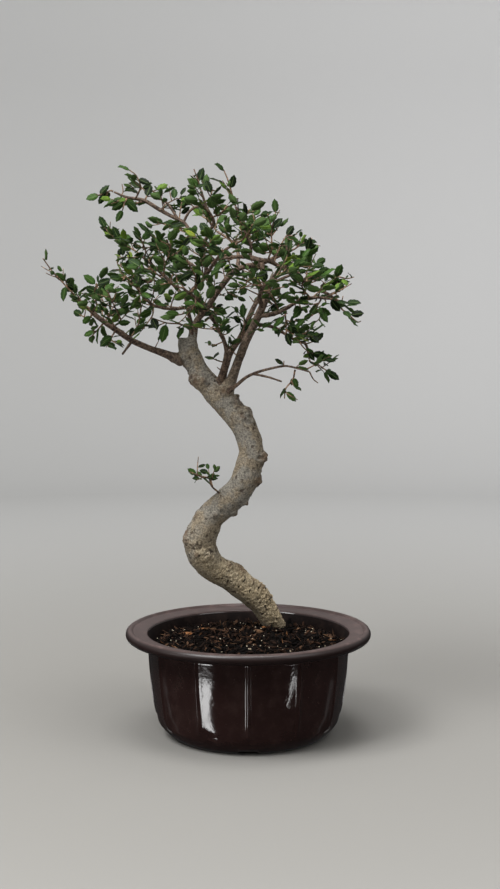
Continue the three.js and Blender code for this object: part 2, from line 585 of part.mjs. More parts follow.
const bonsai = new THREE.Group();
bonsai.add(toMesh(pot, 'pot', potPlastic));
bonsai.add(toMesh(soilSolid(footCutter), 'soil', pottingMix));
bonsai.add(toMesh(wood, 'wood', bark));

const room = Object.values(routes).flatMap(segmentsOf);
const twigRoom = SHOOTS.map(([, limbName, route]) => segmentsOf(twigRoute(routes[limbName], route)));

const grown = [];
SHOOTS.forEach((shoot, index) => {
  const others = twigRoom.filter((_, other) => other !== index).flat();
  const around = [...room, ...others, ...grown];
  const before = around.length;
  const solid = growShoot(shoot, index, around);
  grown.push(...around.slice(before));
  bonsai.add(toMesh(solid, `shoot_${shoot[0]}`, leafGreen));
});

export default bonsai;
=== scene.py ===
# %% [markdown]
# # A small elm bonsai in its training pot
#
# The real thing stands about 43 cm tall with its pot: an S-shaped grey trunk, a crown of thin brown twigs,
# and over a thousand toothed leaves as long as a fingernail, in a glossy brown plastic pot.
# The construction is already settled in a CAD model, which is loaded here as a fixed frame. Each piece
# below takes the place of a CAD solid, or covers it, with the surface that a close look expects.

# %% Start from the frame
import math

import bmesh
import bpy
import numpy as np
from mathutils import Matrix, Quaternion, Vector, noise


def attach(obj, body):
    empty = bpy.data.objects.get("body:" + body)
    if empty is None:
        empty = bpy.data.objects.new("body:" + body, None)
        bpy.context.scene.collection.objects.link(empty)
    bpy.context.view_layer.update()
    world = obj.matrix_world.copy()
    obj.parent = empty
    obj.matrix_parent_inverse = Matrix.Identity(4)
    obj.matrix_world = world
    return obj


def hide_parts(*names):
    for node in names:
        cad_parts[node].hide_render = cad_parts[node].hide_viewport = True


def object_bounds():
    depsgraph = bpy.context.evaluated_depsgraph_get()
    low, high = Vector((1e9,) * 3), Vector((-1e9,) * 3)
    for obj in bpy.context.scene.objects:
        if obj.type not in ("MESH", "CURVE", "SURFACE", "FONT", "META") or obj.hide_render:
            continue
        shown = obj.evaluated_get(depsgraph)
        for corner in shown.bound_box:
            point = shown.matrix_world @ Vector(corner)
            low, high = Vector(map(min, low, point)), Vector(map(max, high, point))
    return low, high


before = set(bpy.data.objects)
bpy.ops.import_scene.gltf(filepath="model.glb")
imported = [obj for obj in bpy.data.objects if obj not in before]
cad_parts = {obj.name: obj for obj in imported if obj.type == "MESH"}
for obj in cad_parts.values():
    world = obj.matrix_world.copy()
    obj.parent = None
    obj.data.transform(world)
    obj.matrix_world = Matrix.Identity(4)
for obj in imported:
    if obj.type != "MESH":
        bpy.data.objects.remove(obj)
cad_box = [list(corner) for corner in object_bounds()]
MM = 0.001
BODY = "root"
print("CAD nodes:", len(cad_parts), "box:", [[round(x, 4) for x in corner] for corner in cad_box])

# %% [markdown]
# ## The same curve as the frame
#
# A bough is drawn as a few stations, each a place and a radius, with a smooth curve through them.
# Blender's own curves pass their points in another way than the frame's do, by a fraction of a millimetre,
# and leaves that sit on a twig would float. So the curve is written out here: a Catmull-Rom spline, whose
# direction at each station is half the step between its two neighbours.


# %% A route through stations
def unit(vector):
    return vector / math.sqrt(vector @ vector)


def between(low, high, share):
    return low + (high - low) * share


class Route:
    """A smooth line through [x, y, z, radius] stations in millimetres, cut into straight rings."""

    def __init__(self, stations, rings):
        self.rings = rings
        self.radii = [station[3] for station in stations]
        points = np.array([station[:3] for station in stations], float)
        self.knots = np.vstack([2 * points[0] - points[1], points, 2 * points[-1] - points[-2]])

    def on_curve(self, t):
        place = t * (len(self.radii) - 1)
        span = min(int(place), len(self.radii) - 2)
        w = place - span
        before, start, end, after = self.knots[span:span + 4]
        leave, arrive = (end - before) / 2, (after - start) / 2
        square = 3 * (end - start) - 2 * leave - arrive
        cube = 2 * (start - end) + leave + arrive
        return start + leave * w + square * w**2 + cube * w**3

    def tangent(self, t):
        step = 1e-4
        return unit(self.on_curve(min(t + step, 1)) - self.on_curve(max(t - step, 0)))

    def at(self, t):
        ring = min(int(t * self.rings), self.rings - 1)
        first, second = self.on_curve(ring / self.rings), self.on_curve((ring + 1) / self.rings)
        return between(first, second, t * self.rings - ring)

    def radius(self, t):
        place = t * (len(self.radii) - 1)
        span = min(int(place), len(self.radii) - 2)
        return between(self.radii[span], self.radii[span + 1], place - span)

    def length(self, steps=200):
        points = [self.on_curve(i / steps) for i in range(steps + 1)]
        return sum(math.sqrt((b - a) @ (b - a)) for a, b in zip(points, points[1:]))


# %% [markdown]
# ## The tree's plan
#
# The limbs are the frame's own: the trunk with its two big bends, the low left bough, the leader that turns
# over to the upper left, and the right-hand boughs that arch over. They are kept as short lists, because a
# grown line follows no formula. The radius is the fourth number of a station.

# %% Limbs
LIMBS = {
    "trunk": [
        [29, 42, 56, 8.0], [19, 32, 77, 8.2], [9, 26, 94, 9.6], [-4, 20, 107, 10.5], [-15, 15, 116, 10.2],
        [-27, 10, 124, 10.6], [-34, 6, 134, 11.8], [-36, 4, 144, 11.8], [-32, 2, 156, 11.5],
        [-27, 1, 165, 10.0], [-15, -1, 176, 10.3], [-5, -3, 187, 10.0], [1, -5, 205, 9.6],
        [2, -5, 215, 8.9], [-2, -3, 229, 9.2], [-9, -1, 239, 9.2], [-18, 1, 249, 8.8], [-31, 3, 264, 8.4],
        [-37, 4, 273, 7.5], [-40, 4, 279, 7.2], [-44, 4, 286, 7.6], [-45, 4, 292, 7.5], [-45, 4, 297, 6.6],
    ],
    "left_low": [
        [-43, 4, 283, 4.2], [-52, 3, 282, 3.6], [-64, 0, 286, 2.8], [-72, -4, 289, 2.4],
        [-85, -9, 295, 2.3], [-95, -13, 302, 2.2], [-109, -17, 312, 1.9], [-115, -18, 318, 1.7],
    ],
    "leader": [
        [-43, 4, 289, 4.0], [-41, 6, 298, 3.2], [-40, 9, 304, 2.8], [-38, 12, 310, 2.5], [-31, 18, 319, 2.2],
        [-22, 24, 333, 2.4], [-9, 30, 348, 2.3], [9, 38, 353, 2.0], [21, 46, 358, 1.6], [34, 52, 364, 1.1],
    ],
    "leader_front": [
        [-43, 2, 291, 2.4], [-42, -1, 306, 1.7], [-44, -5, 316, 1.5], [-45, -10, 327, 1.7],
        [-40, -12, 332, 1.9], [-31, -12, 343, 1.7], [-32, -9, 355, 1.5], [-34, -8, 363, 1.5],
        [-40, -4, 371, 1.4], [-47, 2, 381, 1.5], [-54, 6, 385, 1.5], [-65, 8, 391, 1.5],
        [-77, 8, 398, 1.6], [-89, 5, 400, 1.2], [-99, 4, 404, 0.9],
    ],
    "fork_right": [
        [-34, -8, 362, 1.4], [-28, -12, 374, 1.3], [-25, -14, 381, 1.2],
        [-30, -16, 391, 1.0], [-34, -18, 403, 0.8],
    ],
    "pale_cross": [
        [-33, 14, 315, 1.3], [-39, 4, 320, 1.2], [-54, -10, 318, 1.2],
        [-67, -18, 320, 1.1], [-73, -22, 324, 0.9],
    ],
    "mid_left": [[-45, -8, 325, 1.4], [-56, -4, 337, 1.3], [-69, 0, 349, 1.1], [-81, 4, 359, 0.9]],
    "inner": [
        [-24, 1, 256, 3.2], [-19, -4, 272, 2.2], [-16, -10, 287, 1.8],
        [-19, -14, 298, 1.6], [-23, -18, 306, 1.1],
    ],
    "right_back": [
        [-22, 3, 256, 4.0], [-18, 5, 272, 2.8], [-13, 9, 286, 2.3], [-6, 13, 297, 2.2], [1, 20, 313, 2.0],
        [7, 32, 325, 1.8], [14, 44, 335, 1.6], [28, 58, 343, 1.3], [42, 70, 348, 1.0],
    ],
    "right_main": [
        [-21, 0, 250, 6.6], [-16, -1, 259, 5.6], [-12, -2, 267, 4.0], [-7, -5, 281, 3.3],
        [-2, -8, 294, 3.1], [4, -12, 306, 3.1], [10, -14, 319, 2.9], [14, -16, 330, 2.3],
        [11, -16, 340, 1.9], [10, -14, 352, 1.9],
    ],
    "snag": [[14, -16, 331, 1.9], [17, -19, 338, 1.4], [20, -21, 345, 0.5]],
    "right_mid": [
        [8, -13, 313, 1.8], [17, -18, 314, 1.5], [25, -24, 317, 1.4], [37, -32, 324, 1.2],
        [47, -38, 326, 1.0], [56, -44, 325, 0.9],
    ],
    "arch": [
        [1, -11, 355, 1.6], [10, -14, 353, 1.7], [17, -12, 352, 1.6], [38, -5, 340, 1.3],
        [50, 0, 333, 1.2], [61, 4, 328, 1.1], [69, 8, 319, 0.9],
    ],
    "arch_left": [[11, -14, 353, 1.6], [-2, -10, 356, 1.5], [-19, -4, 355, 1.2], [-28, 3, 353, 0.9]],
    "right_low": [
        [5, -12, 307, 1.6], [18, -2, 305, 1.2], [27, 6, 300, 1.1], [37, 12, 294, 1.0],
        [43, 14, 292, 1.0], [46, 13, 281, 0.9],
    ],
    "low_right": [
        [-19, -2, 255, 2.2], [-9, -9, 262, 1.5], [-2, -14, 268, 1.3], [6, -19, 272, 1.2],
        [16, -24, 275, 1.1], [27, -28, 277, 1.0], [37, -31, 275, 0.9], [44, -33, 273, 0.8],
    ],
    "tall": [[1, -11, 355, 1.3], [2, -10, 364, 1.2], [-2, -10, 373, 1.1], [-9, -9, 392, 0.8]],
    "back_left": [[-24, 23, 330, 1.7], [-32, 38, 342, 1.4], [-44, 54, 353, 1.2], [-58, 68, 362, 0.9]],
    "back_top": [[-8, 31, 349, 1.6], [-8, 46, 362, 1.3], [-14, 60, 372, 1.1], [-24, 72, 379, 0.9]],
    "front_left": [[-18, -13, 296, 1.5], [-25, -32, 310, 1.3], [-34, -50, 323, 1.1], [-44, -66, 331, 0.9]],
    "front_right": [[10, -14, 320, 1.8], [8, -34, 327, 1.4], [12, -52, 335, 1.1], [21, -68, 340, 0.9]],
    "front_top": [[-31, -12, 342, 1.5], [-24, -30, 351, 1.2], [-16, -46, 359, 1.0], [-6, -60, 364, 0.8]],
    "bare_high": [[-51, 4, 383, 1.0], [-61, 9, 397, 0.8], [-70, 12, 400, 0.6]],
    "bare_pale": [[-48, 3, 381, 1.0], [-44, 0, 388, 0.9], [-39, -3, 392, 0.9], [-31, -6, 393, 0.7]],
    "bare_down": [[-85, -9, 295, 1.2], [-92, -13, 285, 0.7]],
    "bare_low": [[3, -17, 271, 0.9], [14, -25, 269, 0.8], [24, -31, 266, 0.6]],
    "bare_stub": [[27, -9, 347, 1.4], [29, -10, 354, 1.7], [28, -12, 364, 1.1]],
}
TRUNK_RINGS = 32
# Round swellings where twigs were cut off: place, reach and rise.
BURLS = [
    [-41, -3, 265, 10, 2.6], [-7, -4, 250, 9, 2.4], [5, -8, 243, 9, 3.0], [-51, 0, 278, 8, 2.4],
    [11, -8, 209, 8, 1.6], [6, -6, 192, 8, 1.4], [-6, 14, 122, 10, 2.2], [12, 18, 108, 9, 2.0],
    [-46, 2, 150, 10, 1.6], [-26, -10, 134, 10, 1.6], [-10, 12, 180, 9, 2.0], [10, 6, 222, 9, 2.0],
]


def limb_rings(name):
    return TRUNK_RINGS if name == "trunk" else max(len(LIMBS[name]) - 1, 3)


limbs = {name: Route(stations, limb_rings(name)) for name, stations in LIMBS.items()}
print("limbs:", len(limbs), "length in mm:", round(sum(limb.length() for limb in limbs.values())))

# %% [markdown]
# ## Materials as small sums
#
# A finish that changes over a surface is built from noise and places, mixed and scaled. In Blender that
# is a graph of nodes. One small class wraps a socket, so that `1 - mask` or `rough * 0.2 + 0.3` adds the
# Math nodes by itself, and one method adds any other node from its settings and its inputs. What every
# finish reads, such as the place of a point or a mark that the mesh keeps, has a short method of its own.


# %% A socket that does sums, and a look that adds nodes
class Value:
    """A node's output. Sums and products with it add Math nodes to the same graph."""

    def __init__(self, look, socket):
        self.look, self.socket = look, socket

    def maths(self, operation, first, second):
        return self.look.node("Math", {"operation": operation}, {0: first, 1: second})

    def __add__(self, other):
        return self.maths("ADD", self, other)

    def __radd__(self, other):
        return self.maths("ADD", other, self)

    def __sub__(self, other):
        return self.maths("SUBTRACT", self, other)

    def __rsub__(self, other):
        return self.maths("SUBTRACT", other, self)

    def __mul__(self, other):
        return self.maths("MULTIPLY", self, other)

    def smooth(self, low, high):
        """0 where the value is under low and 1 where it is over high, with a soft step between."""
        sockets = {0: self, 1: low, 2: high}
        return self.look.node("MapRange", {"interpolation_type": "SMOOTHSTEP"}, sockets)


class Look:
    """The nodes of one material, or of the world."""

    def __init__(self, owner):
        self.owner = owner
        owner.use_nodes = True
        self.tree = owner.node_tree
        self.tree.nodes.clear()

    def node(self, kind, settings=None, sockets=None, output=0):
        """Adds a node. Its settings may hold stops, which are the places and colours of a ramp."""
        made = self.tree.nodes.new("ShaderNode" + kind)
        for name, value in (settings or {}).items():
            if name == "stops":
                while len(made.color_ramp.elements) < len(value):
                    made.color_ramp.elements.new(0.5)
                for element, (place, colour) in zip(made.color_ramp.elements, value):
                    element.position, element.color = place, colour
            else:
                setattr(made, name, value)
        for key, value in (sockets or {}).items():
            if isinstance(value, Value):
                self.tree.links.new(value.socket, made.inputs[key])
            else:
                made.inputs[key].default_value = value
        return Value(self, made.outputs[output])

    def place(self):
        """Where a point lies, in the object's own coordinates and in metres."""
        return self.node("TexCoord", output=3)

    def axis(self, vector, index):
        """The X, Y or Z of a vector, for an index of 0, 1 or 2."""
        return self.node("SeparateXYZ", {}, {0: vector}, output=index)

    def mark(self, name):
        """A number that the mesh keeps at each vertex."""
        return self.node("Attribute", {"attribute_name": name}, output=2)

    def mix(self, low, high, share, blend="MIX"):
        """A colour that goes from low to high as share goes from 0 to 1."""
        settings = {"data_type": "RGBA", "blend_type": blend}
        return self.node("Mix", settings, {0: share, 6: low, 7: high}, output=2)

    def noise(self, where, scale, detail=3, roughness=0.5):
        sockets = {"Vector": where, "Scale": scale, "Detail": detail, "Roughness": roughness}
        return self.node("TexNoise", {}, sockets)

    def bump(self, height, distance, strength=1.0):
        """A normal that tilts as if the surface stood out by height times distance, in metres."""
        return self.node("Bump", {}, {"Height": height, "Distance": distance, "Strength": strength})

    def finish(self, **sockets):
        named = {name.replace("_", " "): value for name, value in sockets.items()}
        shader = self.node("BsdfPrincipled", {}, named)
        end = self.tree.nodes.new("ShaderNodeOutputMaterial")
        self.tree.links.new(shader.socket, end.inputs["Surface"])
        return self.owner


def shade(red, green, blue):
    """A colour as a screen shows it, 0 to 255, in the linear numbers that a shader takes."""
    linear = [((c / 255 + 0.055) / 1.055) ** 2.4 if c > 10 else c / 255 / 12.92 for c in (red, green, blue)]
    return (*linear, 1.0)


def new_look(name):
    return Look(bpy.data.materials.new(name))

# %% [markdown]
# ## Camera
#
# The photograph was taken from a little over a metre away, from the height of the crown's lower edge,
# looking down by five degrees. A lens of 57 mm on a frame whose long side counts as 36 mm gives its
# perspective.

# %% Camera
CAMERA_PLACE = Vector((1.3, -1038, 308.6)) * MM
CAMERA_DOWN = math.radians(5)
LENS = 56.7

camera = bpy.data.objects.new("camera", bpy.data.cameras.new("camera"))
camera.data.lens = LENS
camera.location = CAMERA_PLACE
camera.rotation_euler = (math.radians(90) - CAMERA_DOWN, 0, 0)
bpy.context.scene.collection.objects.link(camera)
bpy.context.scene.camera = camera
bpy.context.scene.view_settings.view_transform = "Standard"
print("camera at", [round(x, 3) for x in camera.location])


# %% [markdown]
# ## From a bmesh to a piece
#
# Every piece is modelled in millimetres in a bmesh, the mesh that Blender's modelling tools work on. One
# function scales it to metres and puts it in an object that sits at the origin, and another ties it to the
# frame. Round things, such as the pot, are a profile spun once about the axis.


# %% Make a piece of a bmesh
def new_object(name, bm, materials):
    bmesh.ops.scale(bm, vec=(MM, MM, MM), verts=bm.verts)
    mesh = bpy.data.meshes.new(name)
    bm.to_mesh(mesh)
    bm.free()
    made = bpy.data.objects.new(name, mesh)
    bpy.context.scene.collection.objects.link(made)
    for material in materials:
        mesh.materials.append(material)
    mesh.shade_smooth()
    return made


def tie(piece, slot, *nodes):
    """Makes an object a piece of the part, in place of the nodes where there are any."""
    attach(piece, BODY)
    if nodes:
        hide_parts(*nodes)
    print(piece.name, "faces:", len(piece.data.polygons))


def new_piece(name, bm, materials, slot, *nodes):
    tie(new_object(name, bm, materials), slot, *nodes)


def spun(profile, steps):
    """A bmesh of a profile, given as radii and heights, spun once round the axis."""
    bm = bmesh.new()
    verts = [bm.verts.new((radius, 0, height)) for radius, height in profile]
    edges = [bm.edges.new(pair) for pair in zip(verts, verts[1:])]
    bmesh.ops.spin(
        bm, geom=verts + edges, axis=(0, 0, 1), cent=(0, 0, 0), angle=2 * math.pi,
        steps=steps, use_merge=True,
    )
    bmesh.ops.remove_doubles(bm, verts=bm.verts, dist=0.01)
    return bm


# %% [markdown]
# ## Studio
#
# A photographer would stand the pot in a round sweep of pale paper, so that floor and wall meet in a wide
# curve with no line. Floor and wall are two spun profiles that meet edge to edge, each with its own
# paper. The glossy pot would mirror the paper right in front of it, which the real one doesn't, because
# it stands high. So the paper is left out of mirrored rays, and low light cards stand where a room's
# bright windows would be.

# %% A pale sweep
SWEEP = {"floor": 1500, "curve": 900, "wall": 2600, "steps": 96, "bend_steps": 24}


def swept(name, profile, finish):
    sheet = new_object(name, spun(profile, SWEEP["steps"]), [finish])
    sheet.visible_glossy = False


def paper(name, low, high, share):
    """Paper that looks pale to the camera but throws a third of the light back, as in a large dim room."""
    look = new_look(name)
    place = look.place()
    # Painted shade: the paper is painted darker towards the left.
    shaded_left = 1 - look.axis(place, 0).smooth(-0.7, 0.7)
    seen = look.mix(low, high, share(look, place))
    seen = look.mix(seen, shade(237, 237, 236), shaded_left, "MULTIPLY")
    tone = look.mix(shade(150, 150, 149), seen, look.node("LightPath", output=0))
    return look.finish(Base_Color=tone, Roughness=1.0, Specular_IOR_Level=0.0)


# Painted shade: the floor's paper is painted darker near the pot, and paler far off.
def shaded_near_pot(look, place):
    return look.node("VectorMath", {"operation": "LENGTH"}, {0: place}, output=1).smooth(0.12, 1.5)


# Painted light: the wall's paper is painted paler higher up.
def lit_up_the_wall(look, place):
    height = look.axis(place, 2)
    return height.maths("POWER", height, 0.5)


table_paper = paper("table_paper", shade(155, 153, 149), shade(220, 220, 219), shaded_near_pot)
sweep_paper = paper("sweep_paper", shade(220, 220, 219), shade(254, 254, 254), lit_up_the_wall)
bend = [i * math.pi / 2 / SWEEP["bend_steps"] for i in range(SWEEP["bend_steps"] + 1)]
curve = [
    (SWEEP["floor"] + SWEEP["curve"] * math.sin(a), SWEEP["curve"] * (1 - math.cos(a))) for a in bend
]
swept("sweep_floor", [(0, 0), (SWEEP["floor"], 0)], table_paper)
swept("sweep_wall", [*curve, (SWEEP["floor"] + SWEEP["curve"], SWEEP["wall"])], sweep_paper)

# %% [markdown]
# The light is mostly even, as in a white room: the world lights every side, and one large soft light from
# the upper left front, with a weaker one above, gives the trunk its form. A weak one at the right opens
# the shadows, and a low one at the left reaches the trunk's foot under the crown. For mirrored rays the
# world is bright above and dark below, so that leaves shine and the pot stays dark, and narrow cards of
# light, low round the pot, draw the streaks on its gloss.

# %% Lights
WORLD_LIGHT = 0.72
MIRRORED_SKY = (0.03, 0.45)
TARGET = Vector((0, 0, 200)) * MM


def soft_light(name, azimuth, elevation, distance, width, height, power, aim=TARGET, roll=0):
    """An area light, placed by its angles from the front: azimuth to the right, elevation upwards."""
    a, e = math.radians(azimuth), math.radians(elevation)
    towards = Vector((math.sin(a) * math.cos(e), -math.cos(a) * math.cos(e), math.sin(e)))
    data = bpy.data.lights.new(name, "AREA")
    data.shape, data.size, data.size_y, data.energy = "RECTANGLE", width, height, power
    light = bpy.data.objects.new(name, data)
    light.location = aim + towards * distance
    turn = (-towards).to_track_quat("-Z", "Y") @ Quaternion((0, 0, 1), math.radians(roll))
    light.rotation_euler = turn.to_euler()
    bpy.context.scene.collection.objects.link(light)


world = bpy.data.worlds.new("world")
bpy.context.scene.world = world
sky = Look(world)
upwards = sky.axis(sky.node("TexCoord", output=0), 2)
mirrored = sky.node("LightPath", output=3)
sky_light = upwards.smooth(-0.1, 0.5) * (MIRRORED_SKY[1] - MIRRORED_SKY[0]) + MIRRORED_SKY[0]
strength = mirrored * sky_light + (1 - mirrored) * WORLD_LIGHT
background = sky.node("Background", {}, {"Color": (1.0, 0.995, 0.99, 1.0), "Strength": strength})
world_end = sky.tree.nodes.new("ShaderNodeOutputWorld")
sky.tree.links.new(background.socket, world_end.inputs["Surface"])

soft_light("key", -48, 50, 1.5, 0.75, 0.75, 21)
soft_light("low_left", -62, 6, 1.6, 0.9, 0.5, 2.4)
soft_light("fill", 52, 36, 1.6, 0.8, 0.8, 4)
soft_light("top", 10, 80, 1.4, 0.7, 0.7, 11)

POT_MIDDLE = Vector((0, 0, 45)) * MM
CARD_DISTANCE = 1.5
# name, azimuth and elevation, roll, width, height, power
CARDS = [
    ("card_left", (-39.6, -25.5), -14, 0.11, 0.33, 1.5),
    ("card_right", (38.7, -22.5), -14, 0.007, 0.2, 0.14),
    ("card_right_dim", (40.3, -20.0), 0, 0.04, 0.07, 0.018),
    ("card_back_left", (-138, -26), 0, 0.05, 0.5, 0.16),
    ("card_back_right", (138, -26), 0, 0.05, 0.5, 0.16),
    ("card_side_left", (-101.5, -26), 0, 0.03, 0.4, 0.012),
    ("card_side_right", (101.5, -26), 0, 0.03, 0.4, 0.012),
]
for name, angles, roll, width, height, power in CARDS:
    soft_light(name, *angles, CARD_DISTANCE, width, height, power, aim=POT_MIDDLE, roll=roll)

# %% [markdown]
# ## Pot
#
# A training pot is moulded in one piece: a broad rolled rim, a thin wall with twelve shallow hollows, or
# flutes, that meet at narrow beads, and a plain foot with drain notches. Its section is drawn once, spun
# round the axis, and then every vertex of the wall is pushed in by the flute's rule. The spin's steps are
# crowded towards the beads, because a bead is only 3 mm wide.

# %% Section of the pot
FLUTES = 12
STEPS_PER_FLUTE = 24
FLUTE_DEPTH = 1.6
FLUTE_FOOT = 12.0
FLUTE_FULL = 24.0
BEAD = {"half_width": 1.5, "height": 0.55, "foot": 14.0}
# The section's points are radii and heights, from the foot's middle out, up and back to the middle inside.
FOOT = [[0, 0], [56.0, 0], [57.6, 0.4], [60.2, 2.0]]
WALL = [[64.5, 6], [68, 11], [71, 22], [73.8, 45], [75.4, 71]]
RIM_UNDERSIDE = [[77.0, 72.1], [86.5, 72.0]]
RIM_BEAD = {"centre": (88.1, 76.1), "radius": 3.9, "start": -80, "end": 96}
RIM_TOP = [[87.0, 79.2], [86.2, 78.5], [85.0, 78.4], [80.5, 77.8], [77.4, 77.3], [76.0, 76.7], [75.3, 75.6]]
INSIDE = [[73.0, 70], [67.2, 18], [56, 4.3], [0, 4.3]]
CURVE_STEPS = {"wall": 28, "bead": 12, "rim_top": 14}


def arc(centre, radius, start, end, steps):
    """Points of [radius, height] on part of a circle, with its angles in degrees."""
    angles = [math.radians(between(start, end, i / steps)) for i in range(steps + 1)]
    return [[centre[0] + radius * math.cos(a), centre[1] + radius * math.sin(a)] for a in angles]


def smoothed(points, steps):
    """The same points with a curve between them."""
    line = Route([[x, 0, z, 0] for x, z in points], 1)
    return [[line.on_curve(i / steps)[0], line.on_curve(i / steps)[2]] for i in range(steps + 1)]


pot_section = [
    *FOOT, *smoothed(WALL, CURVE_STEPS["wall"]), *RIM_UNDERSIDE, *arc(**RIM_BEAD, steps=CURVE_STEPS["bead"]),
    *smoothed(RIM_TOP, CURVE_STEPS["rim_top"]), *INSIDE,
]
print("points in the pot's section:", len(pot_section))

# %% Spin, flute and cut the pot
WALL_REACH = 0.9
ROUNDING = 0.05
DRAIN = {
    "count": 4, "notch": (20, 14, 5.6), "notch_at": 54, "hole_at": 36, "hole_radius": 4.5, "hole_depth": 16,
}


def flute_push(x, y, z):
    """How far a point of the wall moves in or out, and its crowded angle round the pot."""
    pitch = 2 * math.pi / FLUTES
    angle = math.atan2(x, -y)
    flute = math.floor(angle / pitch)
    across = 2 * (angle / pitch - flute) - 1
    crowded = math.sin(math.pi / 2 * across)
    angle = (flute + (crowded + 1) / 2) * pitch
    depth = FLUTE_DEPTH * min(max((z - FLUTE_FOOT) / (FLUTE_FULL - FLUTE_FOOT), 0), 1) ** 0.5
    push = -depth * (1 - crowded**2)
    from_bead = (1 - abs(crowded)) * pitch / 2 * math.hypot(x, y)
    if z > BEAD["foot"] and from_bead < BEAD["half_width"]:
        push += BEAD["height"] * math.sqrt(1 - (from_bead / BEAD["half_width"]) ** 2)
    return push, angle


def is_wall(vert):
    """True on the outer wall: nearer its line than the inside's, which runs 2 mm further in."""
    radii, heights = zip(*WALL)
    line = np.interp(vert.co.z, heights, radii)
    in_height = heights[0] < vert.co.z < heights[-1] + ROUNDING
    return in_height and math.hypot(vert.co.x, vert.co.y) > line - WALL_REACH


def drain_cutters():
    """Notches under the foot's edge and holes in the floor, as closed shapes that reach past the plastic."""
    bm = bmesh.new()
    pitch = 2 * math.pi / DRAIN["count"]
    size = Matrix.Diagonal((*DRAIN["notch"], 1))
    for i in range(DRAIN["count"]):
        turn = Matrix.Rotation(-pitch + i * pitch, 4, "Z")
        notch = turn @ Matrix.Translation((DRAIN["notch_at"], 0, 0)) @ size
        bmesh.ops.create_cube(bm, size=1, matrix=notch)
        hole = turn @ Matrix.Rotation(pitch / 2, 4, "Z") @ Matrix.Translation((DRAIN["hole_at"], 0, 0))
        bmesh.ops.create_cone(
            bm, cap_ends=True, segments=32, radius1=DRAIN["hole_radius"], radius2=DRAIN["hole_radius"],
            depth=DRAIN["hole_depth"], matrix=hole,
        )
    return new_object("drain_cutters", bm, [])


def with_modifiers(made, *settings):
    """Adds modifiers and applies them, so that the object's own mesh is the result."""
    for kind, values in settings:
        modifier = made.modifiers.new(kind.lower(), kind)
        for name, value in values.items():
            setattr(modifier, name, value)
    bpy.context.view_layer.update()
    evaluated = made.evaluated_get(bpy.context.evaluated_depsgraph_get())
    result = bpy.data.meshes.new_from_object(evaluated)
    made.modifiers.clear()
    made.data = result


def pot_mesh():
    bm = spun(pot_section, FLUTES * STEPS_PER_FLUTE)
    for vert in bm.verts:
        radius = math.hypot(vert.co.x, vert.co.y)
        push, angle = flute_push(*vert.co)
        if radius > 1:
            radius += push if is_wall(vert) else 0
            vert.co.x, vert.co.y = radius * math.sin(angle), -radius * math.cos(angle)
    bmesh.ops.recalc_face_normals(bm, faces=bm.faces)
    return bm


pot = new_object("pot_body", pot_mesh(), [])
cutters = drain_cutters()
with_modifiers(pot, ("BOOLEAN", {"object": cutters, "operation": "DIFFERENCE", "solver": "EXACT"}))
bpy.data.objects.remove(cutters)

# %% [markdown]
# The plastic is dark brown and glossy on the body, where the mould was polished. The rim is matte, with a dry
# dusty bloom in patches, and its flat top is painted paler than its dark sides, as painted light from above.
# A point's height and distance from the axis tell the two apart, so the finish reads its place in the
# object's own coordinates. A slow, weak bump makes the edges of the highlights ragged, as on real mouldings.
# The inner wall above the mix is dull with soil, and has a finish of its own, painted darker as painted shade
# in the pot.

# %% Pot plastic
pot_look = new_look("pot_plastic")
place = pot_look.place()
height = pot_look.axis(place, 2)
flat_place = pot_look.node("VectorMath", {"operation": "MULTIPLY"}, {0: place, 1: (1, 1, 0)})
from_axis = pot_look.node("VectorMath", {"operation": "LENGTH"}, {0: flat_place}, output=1)
on_rim = height.smooth(0.0712, 0.0722) * from_axis.smooth(0.0754, 0.0764)
# Painted light: the rim's flat top is painted paler than its dark sides, with patches of dust.
lit_flat_top = 1 - from_axis.smooth(0.0868, 0.09) * (1 - height.smooth(0.0785, 0.0798))
dust = pot_look.noise(place, 90, 4, 0.65).smooth(0.45, 0.75)
speck = pot_look.noise(place, 900, 2, 0.5).smooth(0.68, 0.8)
body_colour = pot_look.mix(shade(42, 27, 25), shade(70, 54, 50), dust * 0.3)
rim_colour = pot_look.mix(shade(36, 23, 21), shade(108, 88, 84), lit_flat_top * (dust * 0.42 + 0.38))
colour = pot_look.mix(body_colour, rim_colour, on_rim)
colour = pot_look.mix(colour, shade(120, 108, 98), speck * 0.25)
waves = pot_look.noise(place, 300, 2, 0.5) * 0.00009 + pot_look.noise(place, 60, 1, 0.5) * 0.0002
grain = pot_look.noise(place, 2600, 2, 0.5) * 0.00004 * on_rim
pot_plastic = pot_look.finish(
    Base_Color=colour,
    Roughness=on_rim * 0.28 + dust * 0.05 + 0.07,
    Normal=pot_look.bump(waves + grain, 1.0, 0.35),
)
pot.data.materials.append(pot_plastic)

# Painted shade: the inner wall is painted darker than the body, as shade inside the pot.
inside_look = new_look("pot_inside_shaded")
soil_patches_in_shade = inside_look.noise(inside_look.place(), 90, 4, 0.65).smooth(0.4, 0.7)
pot_inside_shaded = inside_look.finish(
    Base_Color=inside_look.mix(shade(20, 13, 12), shade(38, 28, 25), soil_patches_in_shade),
    Roughness=0.6, Specular_IOR_Level=0.1,
)
pot.data.materials.append(pot_inside_shaded)
inner_bottom, inner_top = INSIDE[1][1] * MM, RIM_TOP[-1][1] * MM
for face in pot.data.polygons:
    faces_axis = face.normal.xy @ face.center.xy < 0
    if faces_axis and inner_bottom < face.center.z < inner_top:
        face.material_index = 1
pot.data.shade_smooth()
tie(pot, "pot", "pot")

# %% [markdown]
# ## Potting mix
#
# The mix is ground bark: black-brown crumbs, a few pale mineral specks, thin fibres, and larger flat chips,
# some of them still orange. A bumpy surface alone would look like painted tar, so the top is covered with
# loose crumbs, each a squashed low ball of 20 faces, over a plug that fills the pot.

